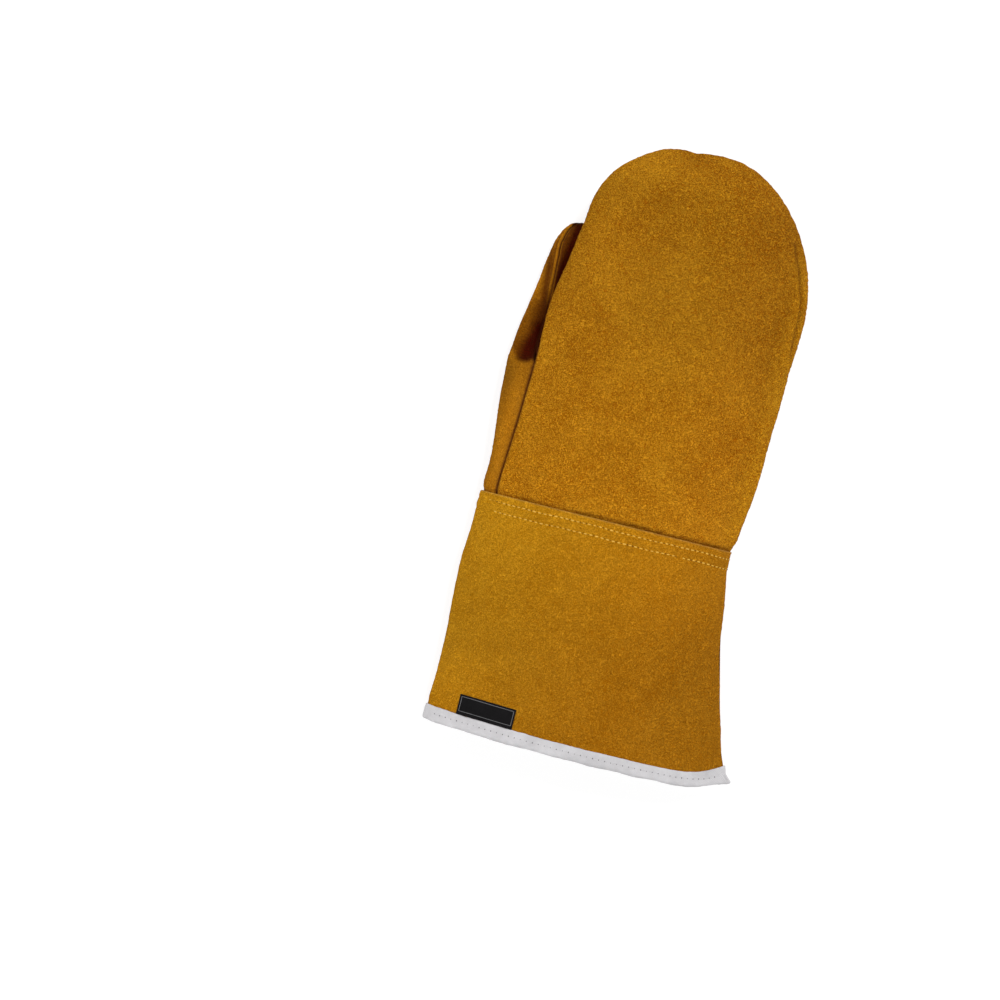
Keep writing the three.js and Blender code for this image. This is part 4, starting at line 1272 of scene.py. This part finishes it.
LABEL = {"x": (18.6, 54.9), "y": (-140.6, -127.7)}
LABEL_CELLS = {"x": 60, "y": 22}
LABEL_UNDER_TAPE_Y = -139.0
LABEL_TOP = (0.9, 0.25, 0.35)
LABEL_UNDERSIDE = (0.02, 0, 0)
LABEL_INSET = 1.3
LABEL_LOW_INSET = 2.4
LABEL_LINE_STEP = 0.8
# Side and height of the points across a border line
LABEL_LINE_SECTION = [(-0.18, 1.12), (-0.09, 1.30), (0.09, 1.30), (0.18, 1.12)]


def label_place(x, y):
    """A place on the label, level across small waves of the leather."""
    y = y + float(hem_shift(x, y))
    near = [(x + i, max(y + j, LABEL_UNDER_TAPE_Y)) for i in (-2, 0, 2) for j in (-2, 0, 2)]
    return np.array([x, y, sum(height_at(cuff_tree, *place)[2] for place in near) / len(near)])


def label_layer(lift, puff, thin):
    """A face of the label, puffed in its middle and thinner at its edges."""
    x_line, y_line = (np.linspace(*LABEL[axis], LABEL_CELLS[axis]) for axis in "xy")
    grid = []
    for y in y_line:
        for x in x_line:
            inside = max(0, min(x - x_line[0], x_line[-1] - x, y_line[-1] - y))
            rise = puff * math.sin(math.pi * min(1, inside / 5) / 2) - thin * math.exp(-inside / 0.4)
            grid.append(label_place(x, y) + np.array([0, 0, lift + rise]))
    return weld([(np.array(grid).reshape(len(y_line), len(x_line), 3), False)])


def make_label():
    outer, quads = label_layer(*LABEL_TOP)
    inner, _ = label_layer(*LABEL_UNDERSIDE)
    piece = add_mesh("woven_label", np.vstack([outer, inner]), closed_faces(quads, len(outer)), LABEL_CLOTH)
    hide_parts("label")


def make_label_lines():
    """A thin woven border line inside the edges of the label."""
    points = []
    faces = []
    left, right = LABEL["x"][0] + LABEL_INSET, LABEL["x"][1] - LABEL_INSET
    low, high = LABEL["y"][0] + LABEL_LOW_INSET, LABEL["y"][1] - LABEL_INSET
    for line in (
        [(left, high), (right, high)], [(left, low), (right, low)],
        [(left, low), (left, high)], [(right, low), (right, high)],
    ):
        a, b = np.array(line)
        length = np.hypot(*(b - a))
        count = int(length / LABEL_LINE_STEP)
        side = np.array([a[1] - b[1], b[0] - a[0]]) / length
        start = len(points)
        for k in range(count + 1):
            middle = a + (b - a) * k / count
            for out, up in LABEL_LINE_SECTION:
                points.append(label_place(*(middle + side * out)) + np.array([0, 0, up]))
        for k in range(count):
            for q in range(start + 4 * k, start + 4 * k + 3):
                faces.append([q, q + 4, q + 5, q + 1])
    piece = add_mesh("label_lines", np.array(points), faces, LABEL_LINE, smooth_angle=60)


make_label()
make_label_lines()


# Floor and light, in metres

FLOOR_SIZE = 6.0
FLOOR_Z = -0.0004
FLOOR_GLOW = 0.84
WORLD_LIGHT = 0.30
LIGHT_DISTANCE = 3.0
# Direction in the picture, 0 to the right and 90 towards the top, height in degrees, size and power
LIGHTS = {"key": (50, 55, 0.7, 60), "left": (200, 42, 1.4, 44), "right": (-20, 50, 1.0, 12)}


def add_floor():
    mesh = bpy.data.meshes.new("floor")
    corners = [(-1, -1), (1, -1), (1, 1), (-1, 1)]
    mesh.from_pydata([(x * FLOOR_SIZE, y * FLOOR_SIZE, FLOOR_Z) for x, y in corners], [], [range(4)])
    material, _, shader = new_material("floor_white")
    set_inputs(shader, Base_Color=(0.22, 0.22, 0.22, 1), Roughness=0.9, Specular_IOR_Level=0.1)
    set_inputs(shader, Emission_Color=(*WHITE, 1), Emission_Strength=FLOOR_GLOW)
    mesh.materials.append(material)
    floor = add_object("floor", mesh)


def add_area(name, azimuth, elevation, size, power):
    data = bpy.data.lights.new(name, "AREA")
    data.shape = "DISK"
    data.size = size
    data.energy = power
    light = add_object(name, data)
    a = math.radians(azimuth) + TURN
    e = math.radians(elevation)
    way = Vector((math.cos(a) * math.cos(e), math.sin(a) * math.cos(e), math.sin(e)))
    light.location = way * LIGHT_DISTANCE
    light.rotation_euler = way.to_track_quat("Z", "Y").to_euler()


def add_world():
    world = bpy.data.worlds.new("world")
    world.use_nodes = True
    set_inputs(world.node_tree.nodes["Background"], Color=(*WHITE, 1), Strength=WORLD_LIGHT)
    bpy.context.scene.world = world


add_floor()
add_world()
for light_name, light_values in LIGHTS.items():
    add_area(light_name, *light_values)
bpy.context.scene.view_settings.view_transform = "Standard"
